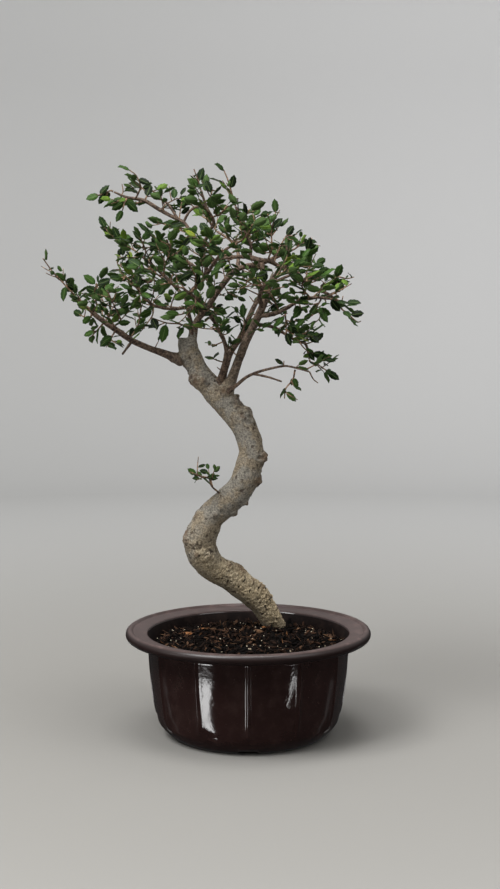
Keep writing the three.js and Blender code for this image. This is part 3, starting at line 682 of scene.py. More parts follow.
# %% Tools for random, repeatable scatter
CRUMB_SEED = 11
rng = np.random.default_rng(CRUMB_SEED)
# Radii and heights of the mix's top and of the rest of its section.
SOIL_TOP = [(0, 74.4), (22, 74.0), (50, 71.4), (63, 68.6), (71.4, 67.0)]
SOIL_SIDE = [(0, 5.0), (55.4, 5.0), (66.6, 18.2), (71.9, 66.0)]
TOP_RINGS = {"outermost": 71.6, "spacing": 1.3, "count": 55, "steps": 180}
LUMPY_ABOVE = 66.5
# How fine each layer of lumps is, and how high.
LUMPS = [(0.06, 1.3), (0.25, 0.9), (0.8, 0.6)]


def soil_height(radius):
    """Height of the mix's top: nearly level, a little higher towards the middle."""
    return float(np.interp(radius, *zip(*SOIL_TOP)))


def soil_plug():
    radii = [TOP_RINGS["outermost"] - TOP_RINGS["spacing"] * i for i in range(TOP_RINGS["count"])]
    top = [(radius, soil_height(radius)) for radius in [*radii, 0]]
    bm = spun([*SOIL_SIDE, *top], TOP_RINGS["steps"])
    for vert in bm.verts:
        if vert.co.z > LUMPY_ABOVE:
            vert.co.z += sum(noise.noise(vert.co * fineness) * rise for fineness, rise in LUMPS)
    bmesh.ops.recalc_face_normals(bm, faces=bm.faces)
    return bm


def add_lump(bm, tint_layer, place, size, turn, tint):
    """One crumb: a low ball, squashed to size, turned and set down, with its tint in every vertex."""
    made = bmesh.ops.create_icosphere(bm, subdivisions=1, radius=0.5)["verts"]
    for vert in made:
        vert.co *= rng.uniform(*RAGGED)
        vert[tint_layer] = tint
    scale = Matrix.Diagonal((*size, 1))
    bmesh.ops.transform(bm, matrix=Matrix.Translation(place) @ turn @ scale, verts=made)


# kind: [how many, lengths, widths, thicknesses, darkest tint, palest tint, spread of its tilt in radians]
CRUMBS = {
    "crumb": [2200, (1.0, 3.4), (0.8, 2.4), (0.7, 1.8), 0.0, 0.3, 0.6],
    "shard": [1150, (3.5, 11.0), (1.0, 3.0), (0.5, 1.1), 0.02, 0.66, 0.6],
    "fibre": [460, (6.0, 17.0), (0.5, 0.9), (0.3, 0.6), 0.2, 0.78, 0.35],
    "chip": [130, (4.0, 10.0), (2.2, 4.5), (0.7, 1.3), 0.25, 0.74, 0.5],
    "speck": [150, (0.9, 1.7), (0.8, 1.4), (0.7, 1.1), 0.9, 0.99, 0.5],
}
# The orange chips that the photograph shows: x, y, length, width, and turn in degrees.
ORANGE_CHIPS = [[-33, 22, 11, 3.2, 20], [-46, 8, 12, 6, -35], [-36, 40, 7, 2.2, 80], [12, 20, 5, 3, 30]]
ORANGE = {"thickness": 1.6, "rise": 1.4, "tilt": 0.3, "tint": 0.8}
# How far from the axis crumbs lie, how far below or above the plug's top, and how uneven each ball is.
SPILL = 71.0
CRUMB_RISE = (-0.8, 2.0)
RAGGED = (0.75, 1.2)
BATCH = 60


def random_crumbs():
    """Every crumb's place, size, turn and tint. A squared draw makes dark tints the commonest."""
    for count, lengths, widths, depths, low, high, tilt in CRUMBS.values():
        for _ in range(count):
            radius, angle = SPILL * math.sqrt(rng.uniform()), rng.uniform(0, 2 * math.pi)
            z = soil_height(radius) + rng.uniform(*CRUMB_RISE)
            size = [rng.uniform(*limits) for limits in (lengths, widths, depths)]
            turn = Matrix.Rotation(rng.uniform(0, 2 * math.pi), 4, "Z")
            lean_x, lean_y = (Matrix.Rotation(rng.normal(0, tilt), 4, axis) for axis in "XY")
            turn @= lean_x @ lean_y
            tint = between(low, high, rng.uniform() ** 2)
            yield (radius * math.cos(angle), radius * math.sin(angle), z), size, turn, tint
    for x, y, length, width, turned in ORANGE_CHIPS:
        turn = Matrix.Rotation(math.radians(turned), 4, "Z") @ Matrix.Rotation(ORANGE["tilt"], 4, "X")
        z = soil_height(math.hypot(x, y)) + ORANGE["rise"]
        yield (x, y, z), (length, width, ORANGE["thickness"]), turn, ORANGE["tint"]


def scattered_soil(bm):
    """Adds the crumbs in batches, because an operator takes longer the larger its bmesh has grown."""
    bm.verts.layers.float.new("tint")
    crumbs = list(random_crumbs())
    for start in range(0, len(crumbs), BATCH):
        batch = bmesh.new()
        layer = batch.verts.layers.float.new("tint")
        for crumb in crumbs[start:start + BATCH]:
            add_lump(batch, layer, *crumb)
        mesh = bpy.data.meshes.new("batch")
        batch.to_mesh(mesh)
        batch.free()
        bm.from_mesh(mesh)
        bpy.data.meshes.remove(mesh)
    print("crumbs:", len(crumbs))
    return bm


# %% Potting mix
soil_look = new_look("potting_mix")
place = soil_look.place()
stops = [
    (0.0, shade(5, 3, 2)), (0.3, shade(24, 15, 11)), (0.55, shade(72, 51, 39)),
    (0.72, shade(112, 85, 63)), (0.8, shade(146, 94, 54)), (0.94, shade(205, 192, 168)),
]
grains = soil_look.noise(place, 1400, 3, 0.7)
shown = soil_look.node("ValToRGB", {"stops": stops}, {0: soil_look.mark("tint") + (grains - 0.5) * 0.16})
grit = soil_look.noise(place, 2600, 2, 0.6) * 0.0003
potting_mix = soil_look.finish(
    Base_Color=shown, Roughness=0.9, Specular_IOR_Level=0.12, Normal=soil_look.bump(grit, 1.0, 0.6),
)
new_piece("potting_mix", scattered_soil(soil_plug()), [potting_mix], "soil", "soil")

# %% [markdown]
# ## Trunk and boughs
#
# The trunk and its thick boughs grew as one skin: where a bough leaves, the bark swells into a collar and
# no seam shows. Tubes pushed into each other would show sharp creases there, so the thick limbs are laid
# out as tubes and then melted together by a voxel remesh, which wraps all of them in one even net of
# small squares. The net is fine enough to carry bark as real relief. Thin limbs would fall through it,
# and stay tubes.


# %% Tubes along a route
def tube_frames(route, rings, radius_at):
    """For each ring, the matrix that carries a circle of radius 1 to its place, square to the route."""
    across = np.array([0.0, 0.0, 1.0])
    matrices = []
    for i in range(rings + 1):
        along = route.tangent(i / rings)
        across = unit(across - along * (across @ along))
        third = np.cross(across, along)
        radius = radius_at(i / rings)
        axes = np.column_stack([across * radius, third * radius, along, route.on_curve(i / rings)])
        matrices.append(Matrix([*axes.tolist(), [0, 0, 0, 1]]))
    return matrices


def add_tube(bm, route, rings, sides, radius_at=None):
    """Extrudes a circle ring by ring along the route and caps both ends. Returns the new vertices."""
    frames = tube_frames(route, rings, radius_at or route.radius)
    ring = bmesh.ops.create_circle(bm, cap_ends=True, radius=1, segments=sides)["verts"]
    made = list(ring)
    bmesh.ops.transform(bm, matrix=frames[0], verts=ring)
    edges = list({edge for vert in ring for edge in vert.link_edges})
    for last, frame_here in zip(frames, frames[1:]):
        grown = bmesh.ops.extrude_edge_only(bm, edges=edges)["geom"]
        ring = [item for item in grown if isinstance(item, bmesh.types.BMVert)]
        edges = [item for item in grown if isinstance(item, bmesh.types.BMEdge)]
        bmesh.ops.transform(bm, matrix=frame_here @ last.inverted(), verts=ring)
        made += ring
    bmesh.ops.contextual_create(bm, geom=edges)
    return made


THICK = ["trunk", "left_low", "leader", "leader_front", "right_main", "right_back", "inner", "low_right"]
VOXEL = 0.66
NET = {"ring_step": 1.6, "least_rings": 8, "trunk_sides": 36, "bough_sides": 20}


def thick_limbs():
    bm = bmesh.new()
    for name in THICK:
        route = limbs[name]
        rings = max(int(route.length() / NET["ring_step"]), NET["least_rings"])
        add_tube(bm, route, rings, NET["trunk_sides"] if name == "trunk" else NET["bough_sides"])
    bmesh.ops.recalc_face_normals(bm, faces=bm.faces)
    return bm


wood = new_object("trunk_and_boughs", thick_limbs(), [])
with_modifiers(
    wood,
    ("REMESH", {"mode": "VOXEL", "voxel_size": VOXEL * MM}),
    ("SMOOTH", {"factor": 0.5, "iterations": 6}),
)
print("squares in the trunk's net:", len(wood.data.polygons))

# %% [markdown]
# Elm bark at this age is smooth and grey with a fine web of wrinkles, low burls where twigs were cut off,
# and rough tan warts with dark pits on the old wood near the soil. Relief is added along each vertex's
# normal: slow lumps, wrinkles that run round the limb, warts low down, and the burls, each with a sunken
# top. Voxels know nothing of limbs, so each vertex asks which limb it belongs to, how thick that is
# there, and which way it grows.

# %% Bark relief
WARTY = {"full_below": 112, "none_above": 174}
BURL_MARGIN, KNOB_MARGIN = 2, 1
# The warts are strongest where the bark looks this way: up and to the right.
WEATHER_SIDE = Vector((0.6, -0.3, 0.74))
# Vector noise is drawn afresh in each run unless it is given a seed.
RELIEF_SEED = 11
noise.seed_set(RELIEF_SEED)
MARKS = ("girth", "pit", "burl", "warts")
CHUNK = 2000
# Smaller knobs, scars and swellings: place, reach and rise. A negative rise is a pit.
KNOBS = [
    [-13, -9, 252, 4, 1.6], [-9, -3, 253, 4, 2.6], [-4, -4, 249, 7, -2.6], [-1, -4, 243, 6, 2.4],
    [-4, -11, 240, 5, 1.4], [-4, -12, 240, 2, -1.6], [9, -9, 209, 5, 2.4], [8, -12, 209, 2, -2.2],
    [12, -6, 210, 4, 1.8], [7, -5, 191, 4, 2.2], [-2, -5, 175, 4, 2.2], [-11, -4, 167, 4, 2.0],
    [-26, -11, 175, 3, 1.2], [-24, -11, 166, 4, 2.0], [-24, -13, 166, 2, -2.4], [-40, -3, 166, 6, 1.4],
    [-46, -3, 146, 6, 1.8], [-42, -9, 143, 5, 1.6], [-38, -6, 136, 4, 1.4], [-42, -2, 266, 5, 2.6],
    [-40, -2, 261, 4, 2.2], [-33, -6, 266, 5, 1.6], [-31, -8, 264, 2, -1.6], [-50, -1, 280, 5, 2.0],
    [-18, -6, 258, 6, 1.8], [-15, 6, 254, 6, 1.8], [-15, 6, 126, 5, 2.2], [3, 14, 112, 5, 2.0],
    [15, 22, 98, 5, 2.0], [-43, -6, 288, 3, -1.0],
]

STATIONS = [i / 120 for i in range(121)]
centres = np.array([limbs[name].on_curve(t) for name in THICK for t in STATIONS])
grains = np.array([limbs[name].tangent(t) for name in THICK for t in STATIONS])
girths = np.array([limbs[name].radius(t) for name in THICK for t in STATIONS])


def nearest_stations(points):
    """For each point, the limb station it lies deepest in, so that a trunk wins over its boughs."""
    found = []
    for start in range(0, len(points), CHUNK):
        apart = np.linalg.norm(points[start:start + CHUNK, None] - centres, axis=2)
        found.append((girths - apart).argmax(1))
    return np.concatenate(found)


def burl_at(point):
    """Height of the burls at a point, and how near the middle of one it is, from 0 to 1."""
    height, nearest = 0.0, 0.0
    for x, y, z, reach, rise in BURLS:
        share = max(0.0, 1 - (point - Vector((x, y, z))).length / (reach + BURL_MARGIN))
        height += rise * share
        nearest = max(nearest, share)
    for x, y, z, reach, rise in KNOBS:
        share = max(0.0, 1 - (point - Vector((x, y, z))).length / (reach + KNOB_MARGIN))
        height += rise * share**2 * (3 - 2 * share)
        nearest = max(nearest, 0.85 * share)
    return height, nearest


def wartiness(point):
    """1 on the old wood near the soil and 0 higher up, with a ragged border."""
    height = point.z + 16 * noise.noise(point * 0.07)
    share = (WARTY["none_above"] - height) / (WARTY["none_above"] - WARTY["full_below"])
    return min(max(share, 0), 1)


def bark_lift(point, centre, along, girth):
    """How far the bark stands out here, in millimetres, and its marks: pit, burl and warts."""
    # Wrinkles are noise squeezed along the limb, so that they run round it.
    slow = noise.noise(point * 0.09) * 0.55 + noise.noise(point * 0.2) * 0.3
    squeezed = point + along * ((along @ point) * 2.2)
    wrinkle = noise.noise(squeezed * 0.42) * 0.16 + noise.noise(squeezed * 0.95) * 0.1
    outward = (point - centre).normalized()
    weathered = min(max(outward @ WEATHER_SIDE + 0.8, 0.4), 1)
    warts = wartiness(point) * weathered
    # Warts are the middles of shaken cells. Where the bark has formed plates, cracks run between the cells.
    shaken = point + noise.noise_vector(point * 0.16) * 4
    cells = noise.voronoi(shaken * 0.3)[0]
    plates = min(max(noise.noise(point * 0.12 + Vector((3, 9, 4))) * 3 + 0.6, 0), 1)
    crack = max(0.0, 0.12 - (cells[1] - cells[0])) * 4.5 * plates
    wart = ((0.42 - cells[0]) * 0.45 - crack + noise.noise(point * 0.55) * 0.4) * warts
    wart += noise.noise(point * 1.1) * 0.45 * warts + noise.noise(point * 0.8) * 0.14
    # Pores are rare pits, and a burl is knurled, with a sunken scar on its top.
    pores = noise.noise(point * 0.34 + Vector((7, 3, 1)))
    pit = min(max((pores - 0.38) * 7, 0), 1) * (0.25 + 0.75 * warts)
    burl, near = burl_at(point)
    knurl = noise.noise(point * 0.5) * 1.1 * min(near * 2.2, 1)
    scar = 0.9 * max(0.0, near - 0.72) * 3.5
    pit = max(pit, min(crack * warts, 0.6))
    # A thin bough has less relief.
    share = min(girth / 7, 1)
    return (slow + wrinkle + wart - 0.55 * pit + knurl - scar) * share + burl, pit, near, warts


def carve_bark(made):
    """Moves every vertex out by the bark's relief and keeps the marks as attributes."""
    marks = []
    vertices = made.data.vertices
    normals = [vertex.normal.copy() for vertex in vertices]
    nearest = nearest_stations(np.array([vertex.co / MM for vertex in vertices]))
    for vertex, normal, index in zip(vertices, normals, nearest):
        point = vertex.co / MM
        girth = girths[index]
        lift, *others = bark_lift(point, Vector(centres[index]), Vector(grains[index]), girth)
        vertex.co = (point + normal * lift) * MM
        marks.append((girth, *others))
    for name, values in zip(MARKS, zip(*marks)):
        made.data.attributes.new(name, "FLOAT", "POINT").data.foreach_set("value", values)


carve_bark(wood)

# %% [markdown]
# The colours follow the same marks. Clean bark is grey with tan patches, a web of darker ones, dark
# flecks and pores. The warts are straw-coloured with dark pits, and the straw is painted paler near the soil,
# as painted light on the lower trunk. The burls are brown, and the foot is painted darker where it meets the
# mix, as painted shade, with a mottled edge. The wood turns brown as the boughs get thinner, which the girth
# mark tells.

# %% Bark
bark_look = new_look("bark")
place = bark_look.place()
height = bark_look.axis(place, 2)
girth, pit, burl, warts = map(bark_look.mark, MARKS)
patches = bark_look.noise(place, 75, 3, 0.6)
web = bark_look.noise(place, 160, 3, 0.7)
mottle = bark_look.noise(place, 330, 4, 0.7)
grain = bark_look.noise(place, 760, 3, 0.7)
flecks = bark_look.noise(place, 1100, 2, 0.6)

# The cracks and pores follow cells that a second noise has shaken.
shake = bark_look.node("TexNoise", {}, {"Vector": place, "Scale": 140, "Detail": 3}, output=1)
shaken = bark_look.node("VectorMath", {"operation": "MULTIPLY_ADD"}, {0: shake, 1: (0.008,) * 3, 2: place})
split = bark_look.node("TexVoronoi", {"feature": "DISTANCE_TO_EDGE"}, {"Vector": shaken, "Scale": 150})
cracks = (1 - split.smooth(0.02, 0.11)) * (warts * 0.16 + patches.smooth(0.55, 0.65) * 0.2)
from_middle = bark_look.node("TexVoronoi", {}, {"Vector": shaken, "Scale": 260})
drawn = bark_look.axis(bark_look.node("TexVoronoi", {}, {"Vector": shaken, "Scale": 260}, output=1), 0)
pores = (1 - from_middle.smooth(0.26, 0.4)) * drawn.smooth(0.7, 0.72)

grey = bark_look.mix(shade(102, 98, 89), shade(158, 151, 138), grain.smooth(0.34, 0.66))
tan = bark_look.mix(shade(106, 91, 68), shade(168, 149, 119), grain.smooth(0.34, 0.66))
# Painted light: the straw is painted paler near the soil, to brighten the lower trunk.
lit_low_down = 1 - height.smooth(0.104, 0.15)
dark_straw = bark_look.mix(shade(146, 130, 104), shade(180, 160, 124), lit_low_down)
pale_straw = bark_look.mix(shade(192, 178, 150), shade(240, 220, 182), lit_low_down)
straw = bark_look.mix(dark_straw, pale_straw, grain.smooth(0.36, 0.64))
# Painted shade: the foot is painted darker where it meets the mix, with a mottled edge.
shade_at_soil = 1 - height.smooth(0.068, 0.086)

# Each layer covers a share of those before it: tan, web, straw, burls, flecks, pores, cracks, pits, painted
# shade at the soil.
colour = grey
for layer, share in (
    (tan, patches.smooth(0.44, 0.6) * 0.6),
    (shade(88, 78, 66), web.smooth(0.55, 0.66) * 0.35),
    (straw, warts.smooth(0, 0.9) * (patches * 0.5 + 0.55)),
    (shade(104, 80, 58), burl.smooth(0.3, 0.8) * mottle.smooth(0.34, 0.56) * 0.8),
    (shade(70, 52, 38), flecks.smooth(0.6, 0.75) * (warts * 0.1 + 0.26)),
    (shade(64, 50, 38), pores * (0.8 - warts * 0.4)),
    (shade(66, 51, 38), cracks),
    (shade(40, 29, 22), pit.smooth(0.15, 0.8) * 0.9),
    (shade(58, 44, 34), shade_at_soil * (mottle.smooth(0.3, 0.6) * 0.5 + 0.25)),
):
    colour = bark_look.mix(colour, layer, share)
rough = mottle * 0.5 + grain * 0.5
bough = bark_look.mix(shade(60, 45, 35), shade(140, 116, 96), rough.smooth(0.4, 0.64))
colour = bark_look.mix(bough, colour, (girth + patches * 3).smooth(3.6, 7.6))
fine = mottle * 0.0009 + grain * 0.0012 - cracks * 0.0009 - pores * 0.0006
bark = bark_look.finish(
    Base_Color=colour, Roughness=0.8 - mottle * 0.12, Normal=bark_look.bump(fine, 1.0, 0.7),
)
wood.data.materials.append(bark)
wood.data.shade_smooth()
tie(wood, "bark", "wood")

# %% Thin limbs
THIN = [name for name in LIMBS if name not in THICK]
BOUGH = {"ring_step": 1.3, "least_rings": 4, "sides": 9, "girth": 1.5}
KNOT = {"spacing": 7.0, "rise": 0.2, "width": 0.11, "unevenness": 0.12}


def knotty(route, seed):
    """The route's radius with a swelling at each old leaf scar and a little unevenness."""
    reach = route.length()

    def radius(t):
        along = t * reach
        phase = (along / KNOT["spacing"] + seed * 0.37) % 1
        knot = KNOT["rise"] * math.exp(-(((phase - 0.5) / KNOT["width"]) ** 2))
        uneven = KNOT["unevenness"] * noise.noise(Vector((along * 0.4, seed, 0)))
        return route.radius(t) * (1 + knot + uneven)

    return radius


def thin_limbs():
    bm = bmesh.new()
    girth_layer = bm.verts.layers.float.new("girth")
    for seed, name in enumerate(THIN):
        route = limbs[name]
        rings = max(int(route.length() / BOUGH["ring_step"]), BOUGH["least_rings"])
        for vert in add_tube(bm, route, rings, BOUGH["sides"], knotty(route, seed)):
            vert[girth_layer] = BOUGH["girth"]
    bmesh.ops.recalc_face_normals(bm, faces=bm.faces)
    return bm


new_piece("thin_boughs", thin_limbs(), [bark], "bark", "wood")

# %% [markdown]
# ## Leafy shoots
#
# Each shoot is a thin twig that leaves its limb squarely and bears toothed leaves in turn to the left and
# right. A shoot's row gives its name, its limb, the twig's route, and the tips of those leaves that stand
# out against the background in the photograph. The other leaves follow a rule with seeded draws.

# %% Shoots
SHOOTS = [
    ["left_1", "left_low", [[-119, -18, 320], [-131, -22, 334], [-140, -25, 344], [-147, -28, 354]],
        [[-131, -22, 338], [-123, -18, 332], [-134, -26, 324]]],
    ["left_2", "left_low", [[-109, -24, 320], [-110, -30, 329], [-108, -34, 336]],
        [[-117, -36, 342], [-103, -28, 337]]],
    ["left_3", "left_low", [[-117, -10, 311], [-124, -4, 314]], [[-129, 0, 317], [-122, -10, 307]]],
    ["left_4", "left_low", [[-109, -12, 304], [-115, -8, 298]], [[-121, -6, 299], [-113, -10, 292]]],
    ["left_5", "left_low", [[-99, -18, 298], [-101, -24, 292]], [[-105, -26, 294], [-97, -22, 287]]],
    ["left_6", "left_low", [[-92, -24, 310], [-96, -34, 321], [-100, -42, 331]], []],
    ["left_7", "left_low", [[-81, -6, 306], [-79, -2, 320], [-82, 2, 335]], []],
    ["left_8", "left_low", [[-103, -4, 314], [-109, 10, 326], [-114, 20, 337]], []],
    ["mid_1", "leader", [[-50, -1, 307], [-60, -8, 308], [-71, -14, 312]],
        [[-65, -12, 288], [-53, -8, 296], [-53, -8, 310]]],
    ["mid_2", "pale_cross", [[-69, -26, 313], [-73, -30, 307]], [[-65, -30, 303]]],
    ["mid_3", "pale_cross", [[-78, -28, 330], [-84, -34, 338], [-91, -38, 344]], []],
    ["mid_4", "mid_left", [[-87, 4, 363], [-98, 6, 370], [-107, 8, 379]],
        [[-110, 8, 387], [-100, 4, 379], [-92, 2, 377]]],
    ["mid_5", "mid_left", [[-75, -8, 361], [-78, -14, 369]], [[-69, -18, 374], [-83, -14, 375]]],
    ["mid_6", "mid_left", [[-73, 12, 338], [-84, 20, 343], [-97, 26, 351]], []],
    ["mid_7", "mid_left", [[-60, -16, 350], [-56, -28, 360], [-58, -34, 367]], []],
    ["front_1", "front_left", [[-41, -52, 316], [-50, -60, 313]], [[-57, -62, 316]]],
    ["front_2", "front_left", [[-52, -68, 334], [-62, -74, 341], [-69, -78, 348]], []],
    ["front_3", "front_left", [[-35, -60, 336], [-40, -68, 347], [-45, -74, 354]], []],
    ["high_1", "leader_front", [[-105, 3, 403], [-110, 2, 401]],
        [[-119, 2, 398], [-111, 6, 395], [-103, 0, 408]]],
    ["high_2", "leader_front", [[-91, 1, 395], [-92, -2, 390]], [[-96, -6, 382], [-80, 2, 388]]],
    ["high_3", "leader_front", [[-74, 14, 404], [-68, 20, 407]], [[-60, 22, 412], [-72, 16, 412]]],
    ["high_4", "leader_front", [[-80, -6, 402], [-78, -12, 407], [-81, -14, 414], [-86, -14, 418]],
        [[-71, -18, 408]]],
    ["high_5", "leader_front", [[-61, 16, 396], [-54, 26, 401]], [[-48, 30, 394], [-56, 30, 411]]],
    ["high_6", "leader_front", [[-53, -12, 377], [-59, -28, 378], [-64, -38, 379]], []],
    ["top_1", "fork_right", [[-36, -19, 410], [-39, -20, 418]],
        [[-43, -22, 410], [-32, -18, 419], [-45, -16, 417]]],
    ["top_2", "fork_right", [[-28, -12, 397], [-26, -9, 404]],
        [[-31, -8, 411], [-26, -6, 413], [-18, -6, 407]]],
    ["top_3", "fork_right", [[-20, -20, 386], [-14, -30, 391]], []],
    ["top_4", "tall", [[-12, -9, 402], [-15, -8, 412], [-18, -7, 419]], [[-10, -10, 415], [-9, -6, 412]]],
    ["top_5", "tall", [[-2, -16, 385], [1, -22, 389]], [[-2, -24, 393], [7, -24, 389]]],
    ["top_6", "tall", [[1, 4, 379], [7, 16, 384], [11, 24, 389]], [[16, 26, 392]]],
    ["right_1", "arch", [[17, -18, 362], [17, -19, 375], [20, -20, 388]],
        [[19, -20, 397], [26, -22, 394], [26, -16, 384], [11, -20, 377]]],
    ["right_2", "arch", [[23, -4, 363], [28, 2, 372]], [[35, 6, 381], [40, 4, 374], [26, 2, 380]]],
    ["right_3", "arch", [[39, -14, 351], [43, -22, 361]], [[45, -24, 369], [52, -26, 361]]],
    ["right_4", "arch", [[44, 8, 347], [51, 14, 352]], [[58, 18, 356]]],
    ["right_5", "arch", [[59, 4, 337], [66, 2, 342]], [[69, 0, 351], [80, 0, 346], [75, 4, 337]]],
    ["right_6", "arch", [[74, 8, 315], [79, 6, 310]], [[86, 8, 315], [87, 4, 306], [81, 8, 303]]],
    ["right_7", "right_mid", [[63, -47, 324], [69, -50, 322]],
        [[79, -52, 323], [73, -50, 316], [65, -44, 316]]],
    ["right_8", "right_mid", [[38, -44, 333], [40, -54, 340]], []],
    ["right_9", "right_mid", [[27, -34, 307], [27, -40, 300]], [[30, -42, 292], [20, -40, 297]]],
    ["right_10", "right_mid", [[48, -46, 318], [53, -54, 316]], [[55, -56, 309]]],
    ["right_11", "right_low", [[41, 2, 300], [47, -4, 298]], [[52, -8, 293], [40, 2, 305]]],
    ["right_12", "right_low", [[52, 10, 277], [59, 6, 272]], [[69, 4, 265], [56, 8, 289]]],
    ["back_1", "right_back", [[15, 52, 326], [23, 62, 320]], []],
    ["back_2", "right_back", [[52, 74, 349], [60, 78, 346]], []],
    ["back_3", "right_back", [[28, 64, 355], [33, 70, 365]], []],
    ["back_4", "back_left", [[-70, 74, 365], [-79, 78, 370]], []],
    ["back_5", "back_left", [[-50, 56, 343], [-60, 64, 338]], []],
    ["back_6", "back_top", [[-30, 76, 387], [-37, 80, 392]], []],
    ["back_7", "back_top", [[-3, 60, 372], [6, 68, 377]], []],
    ["back_8", "leader", [[42, 54, 369], [49, 56, 372]], []],
    ["back_9", "leader", [[-26, 34, 316], [-33, 48, 309]], []],
    ["front_4", "front_right", [[28, -74, 343], [35, -80, 342]], []],
    ["front_5", "front_right", [[3, -50, 335], [-4, -62, 339]], []],
    ["front_6", "front_top", [[0, -68, 369], [3, -74, 375]], []],
    ["front_7", "front_top", [[-25, -48, 360], [-31, -60, 365]], []],
    ["low_1", "low_right", [[32, -31, 267], [27, -33, 261], [26, -35, 254]],
        [[36, -33, 259], [38, -36, 249], [19, -35, 252]]],
    ["low_2", "trunk", [[-27, -12, 188], [-29, -14, 194], [-35, -16, 196], [-43, -16, 199]],
        [[-47, -16, 203], [-17, -12, 194], [-24, -16, 190]]],
]
TWIG = {"start": 1.1, "end": 0.6, "square_leg": 2.0}
GAP = 0.3
SEARCH_STEPS = 200
LEAF_SPACING = 9.5
LEAF_COUNT = (4, 5)
LEAF = {
    "shortest": 10.5, "longest": 15.5, "stretch": 1.5, "width": 0.56, "fold": 0.28, "clearance": 0.35,
    "angle": (0.75, 1.15), "tip_angle": 0.25, "lift": (-0.35, 0.45), "roll": (-1.1, 1.1),
}
# The strips that stand for half a leaf: start, end, and way from the midrib as a share of the width.
STRIPS = [(0.2, 0.92, 0.125), (0.34, 0.62, 0.36)]
FIRST_FOOT, SECOND_FOOT, LAST_FOOT = 0.3, 0.42, 0.965
ROLL_STEP = math.radians(50)
TRIES = 14
FIRST_SEED, SEED_STEP = 4001, 137
FACTOR, MODULUS = 16807, 2147483647


def draws_from(seed):
    """The frame's own generator of draws between 0 and 1, so that the same leaves come out."""
    state = seed
    while True:
        state = state * FACTOR % MODULUS
        yield state / MODULUS


def square_to(vector, axis):
    return unit(vector - axis * (vector @ axis))


def turned_about(vector, axis, angle):
    """The vector turned about an axis of length 1."""
    along = axis * (axis @ vector) * (1 - math.cos(angle))
    return vector * math.cos(angle) + np.cross(axis, vector) * math.sin(angle) + along


def route_of(points, radii, rings):
    return Route([[*point, radius] for point, radius in zip(points, radii)], rings)


def twig_route(limb, route):
    """The twig leaves the limb's surface squarely, with a hair's gap, and then follows its own route."""
    target = np.array(route[0], float)
    places = (i / SEARCH_STEPS for i in range(SEARCH_STEPS + 1))
    t = min(places, key=lambda t: math.dist(limb.at(t), target))
    centre = limb.at(t)
    out = limb.tangent(1) if t == 1 else unit(target - centre)
    off = GAP + (0 if t == 1 else limb.radius(t))
    stations = [centre + out * off, centre + out * (off + TWIG["square_leg"]), *route]
    last = len(stations) - 1
    radii = [between(TWIG["start"], TWIG["end"], i / last) for i in range(last + 1)]
    return route_of(stations, radii, len(route) + 1)


twigs = {name: twig_route(limbs[limb], route) for name, limb, route, _ in SHOOTS}
print("shoots:", len(twigs))

# %% [markdown]
# A leaf may not grow through a neighbour. What is taken already is kept as thick line segments, the limbs
# and twigs ring by ring and each leaf as four strips. A new leaf is rolled about its own line, or swung
# to the twig's other side, until it is clear of all of them. One that finds no room isn't grown.


# %% Room among the leaves
def segments_of(route):
    """Rows of a start, an end and a radius, one for each of the route's rings."""
    rows = []
    for ring in range(route.rings):
        t, after = ring / route.rings, (ring + 1) / route.rings
        rows.append([*route.at(t), *route.at(after), max(route.radius(t), route.radius(after))])
    return np.array(rows)


def smallest_gap(segment, room):
    """The least distance between the surface of one thick segment and those of many."""
    start, end, radius = segment[:3], segment[3:6], segment[6]
    u, v, w = end - start, room[:, 3:6] - room[:, :3], start - room[:, :3]
    a, b, c = u @ u, v @ u, (v * v).sum(1)
    d, e = w @ u, (w * v).sum(1)
    flat = a * c - b * b
    s = np.where(flat > 1e-9, np.clip((b * e - c * d) / np.maximum(flat, 1e-9), 0, 1), 0)
    t = np.clip((b * s + e) / c, 0, 1)
    s = np.clip((b * t - d) / a, 0, 1)
    apart = w + s[:, None] * u - t[:, None] * v
    return (np.sqrt((apart * apart).sum(1)) - room[:, 6]).min() - radius


class Room:
    """What leaves have taken already, as rows of thick segments."""

    def __init__(self):
        self.rows = np.empty((0, 7))

    def take(self, segments):
        self.rows = np.vstack([self.rows, segments])


class Leaf:
    """A leaf: its foot, the way its midrib runs and its face looks, its length, and its other way to run."""

    def __init__(self, foot, along, face, length, swing):
        self.foot, self.along, self.face, self.length, self.swing = foot, along, face, length, swing

    def segments(self, clearance):
        across = np.cross(self.face, self.along)
        radius = self.length * LEAF["width"] / 8 + clearance

        def spot(x, y):
            return self.foot + (self.along * x + across * y + self.face * LEAF["fold"] * abs(y)) * self.length

        rows = []
        for side in (1, -1):
            for start, end, share in STRIPS:
                y = side * LEAF["width"] * share
                rows.append([*spot(start, y), *spot(end, y), radius])
        return np.array(rows)

    def settle(self, room, clearance):
        """Rolls the leaf, and then swings it over, until it is clear. False where it never is."""
        first_along, first_face = self.along, self.face
        for attempt in range(TRIES):
            self.along = first_along if attempt < TRIES / 2 else self.swing
            face = square_to(first_face, self.along)
            self.face = turned_about(face, self.along, ROLL_STEP * (attempt % (TRIES // 2)))
            if all(smallest_gap(segment, room) > 0 for segment in self.segments(clearance)):
                return True
        return False


# %% The rule that places leaves
def leaf_to_tip(twig, tip, draw):
    """A leaf whose tip is given starts where the twig is one leaf length away from that tip."""
    target = np.array(tip, float)
    wanted = between(LEAF["shortest"], LEAF["longest"], next(draw))
    places = [LAST_FOOT, *(between(FIRST_FOOT, LAST_FOOT, i / 40) for i in range(41))]
    foot = min((twig.at(place) for place in places), key=lambda p: abs(math.dist(p, target) - wanted))
    length = min(max(math.dist(target, foot), LEAF["shortest"]), LEAF["longest"] + LEAF["stretch"])
    along = unit(target - foot)
    face = np.array([next(draw) - 0.5, -1, 0.9 * next(draw)])
    return Leaf(foot, along, square_to(face, along), length, along)


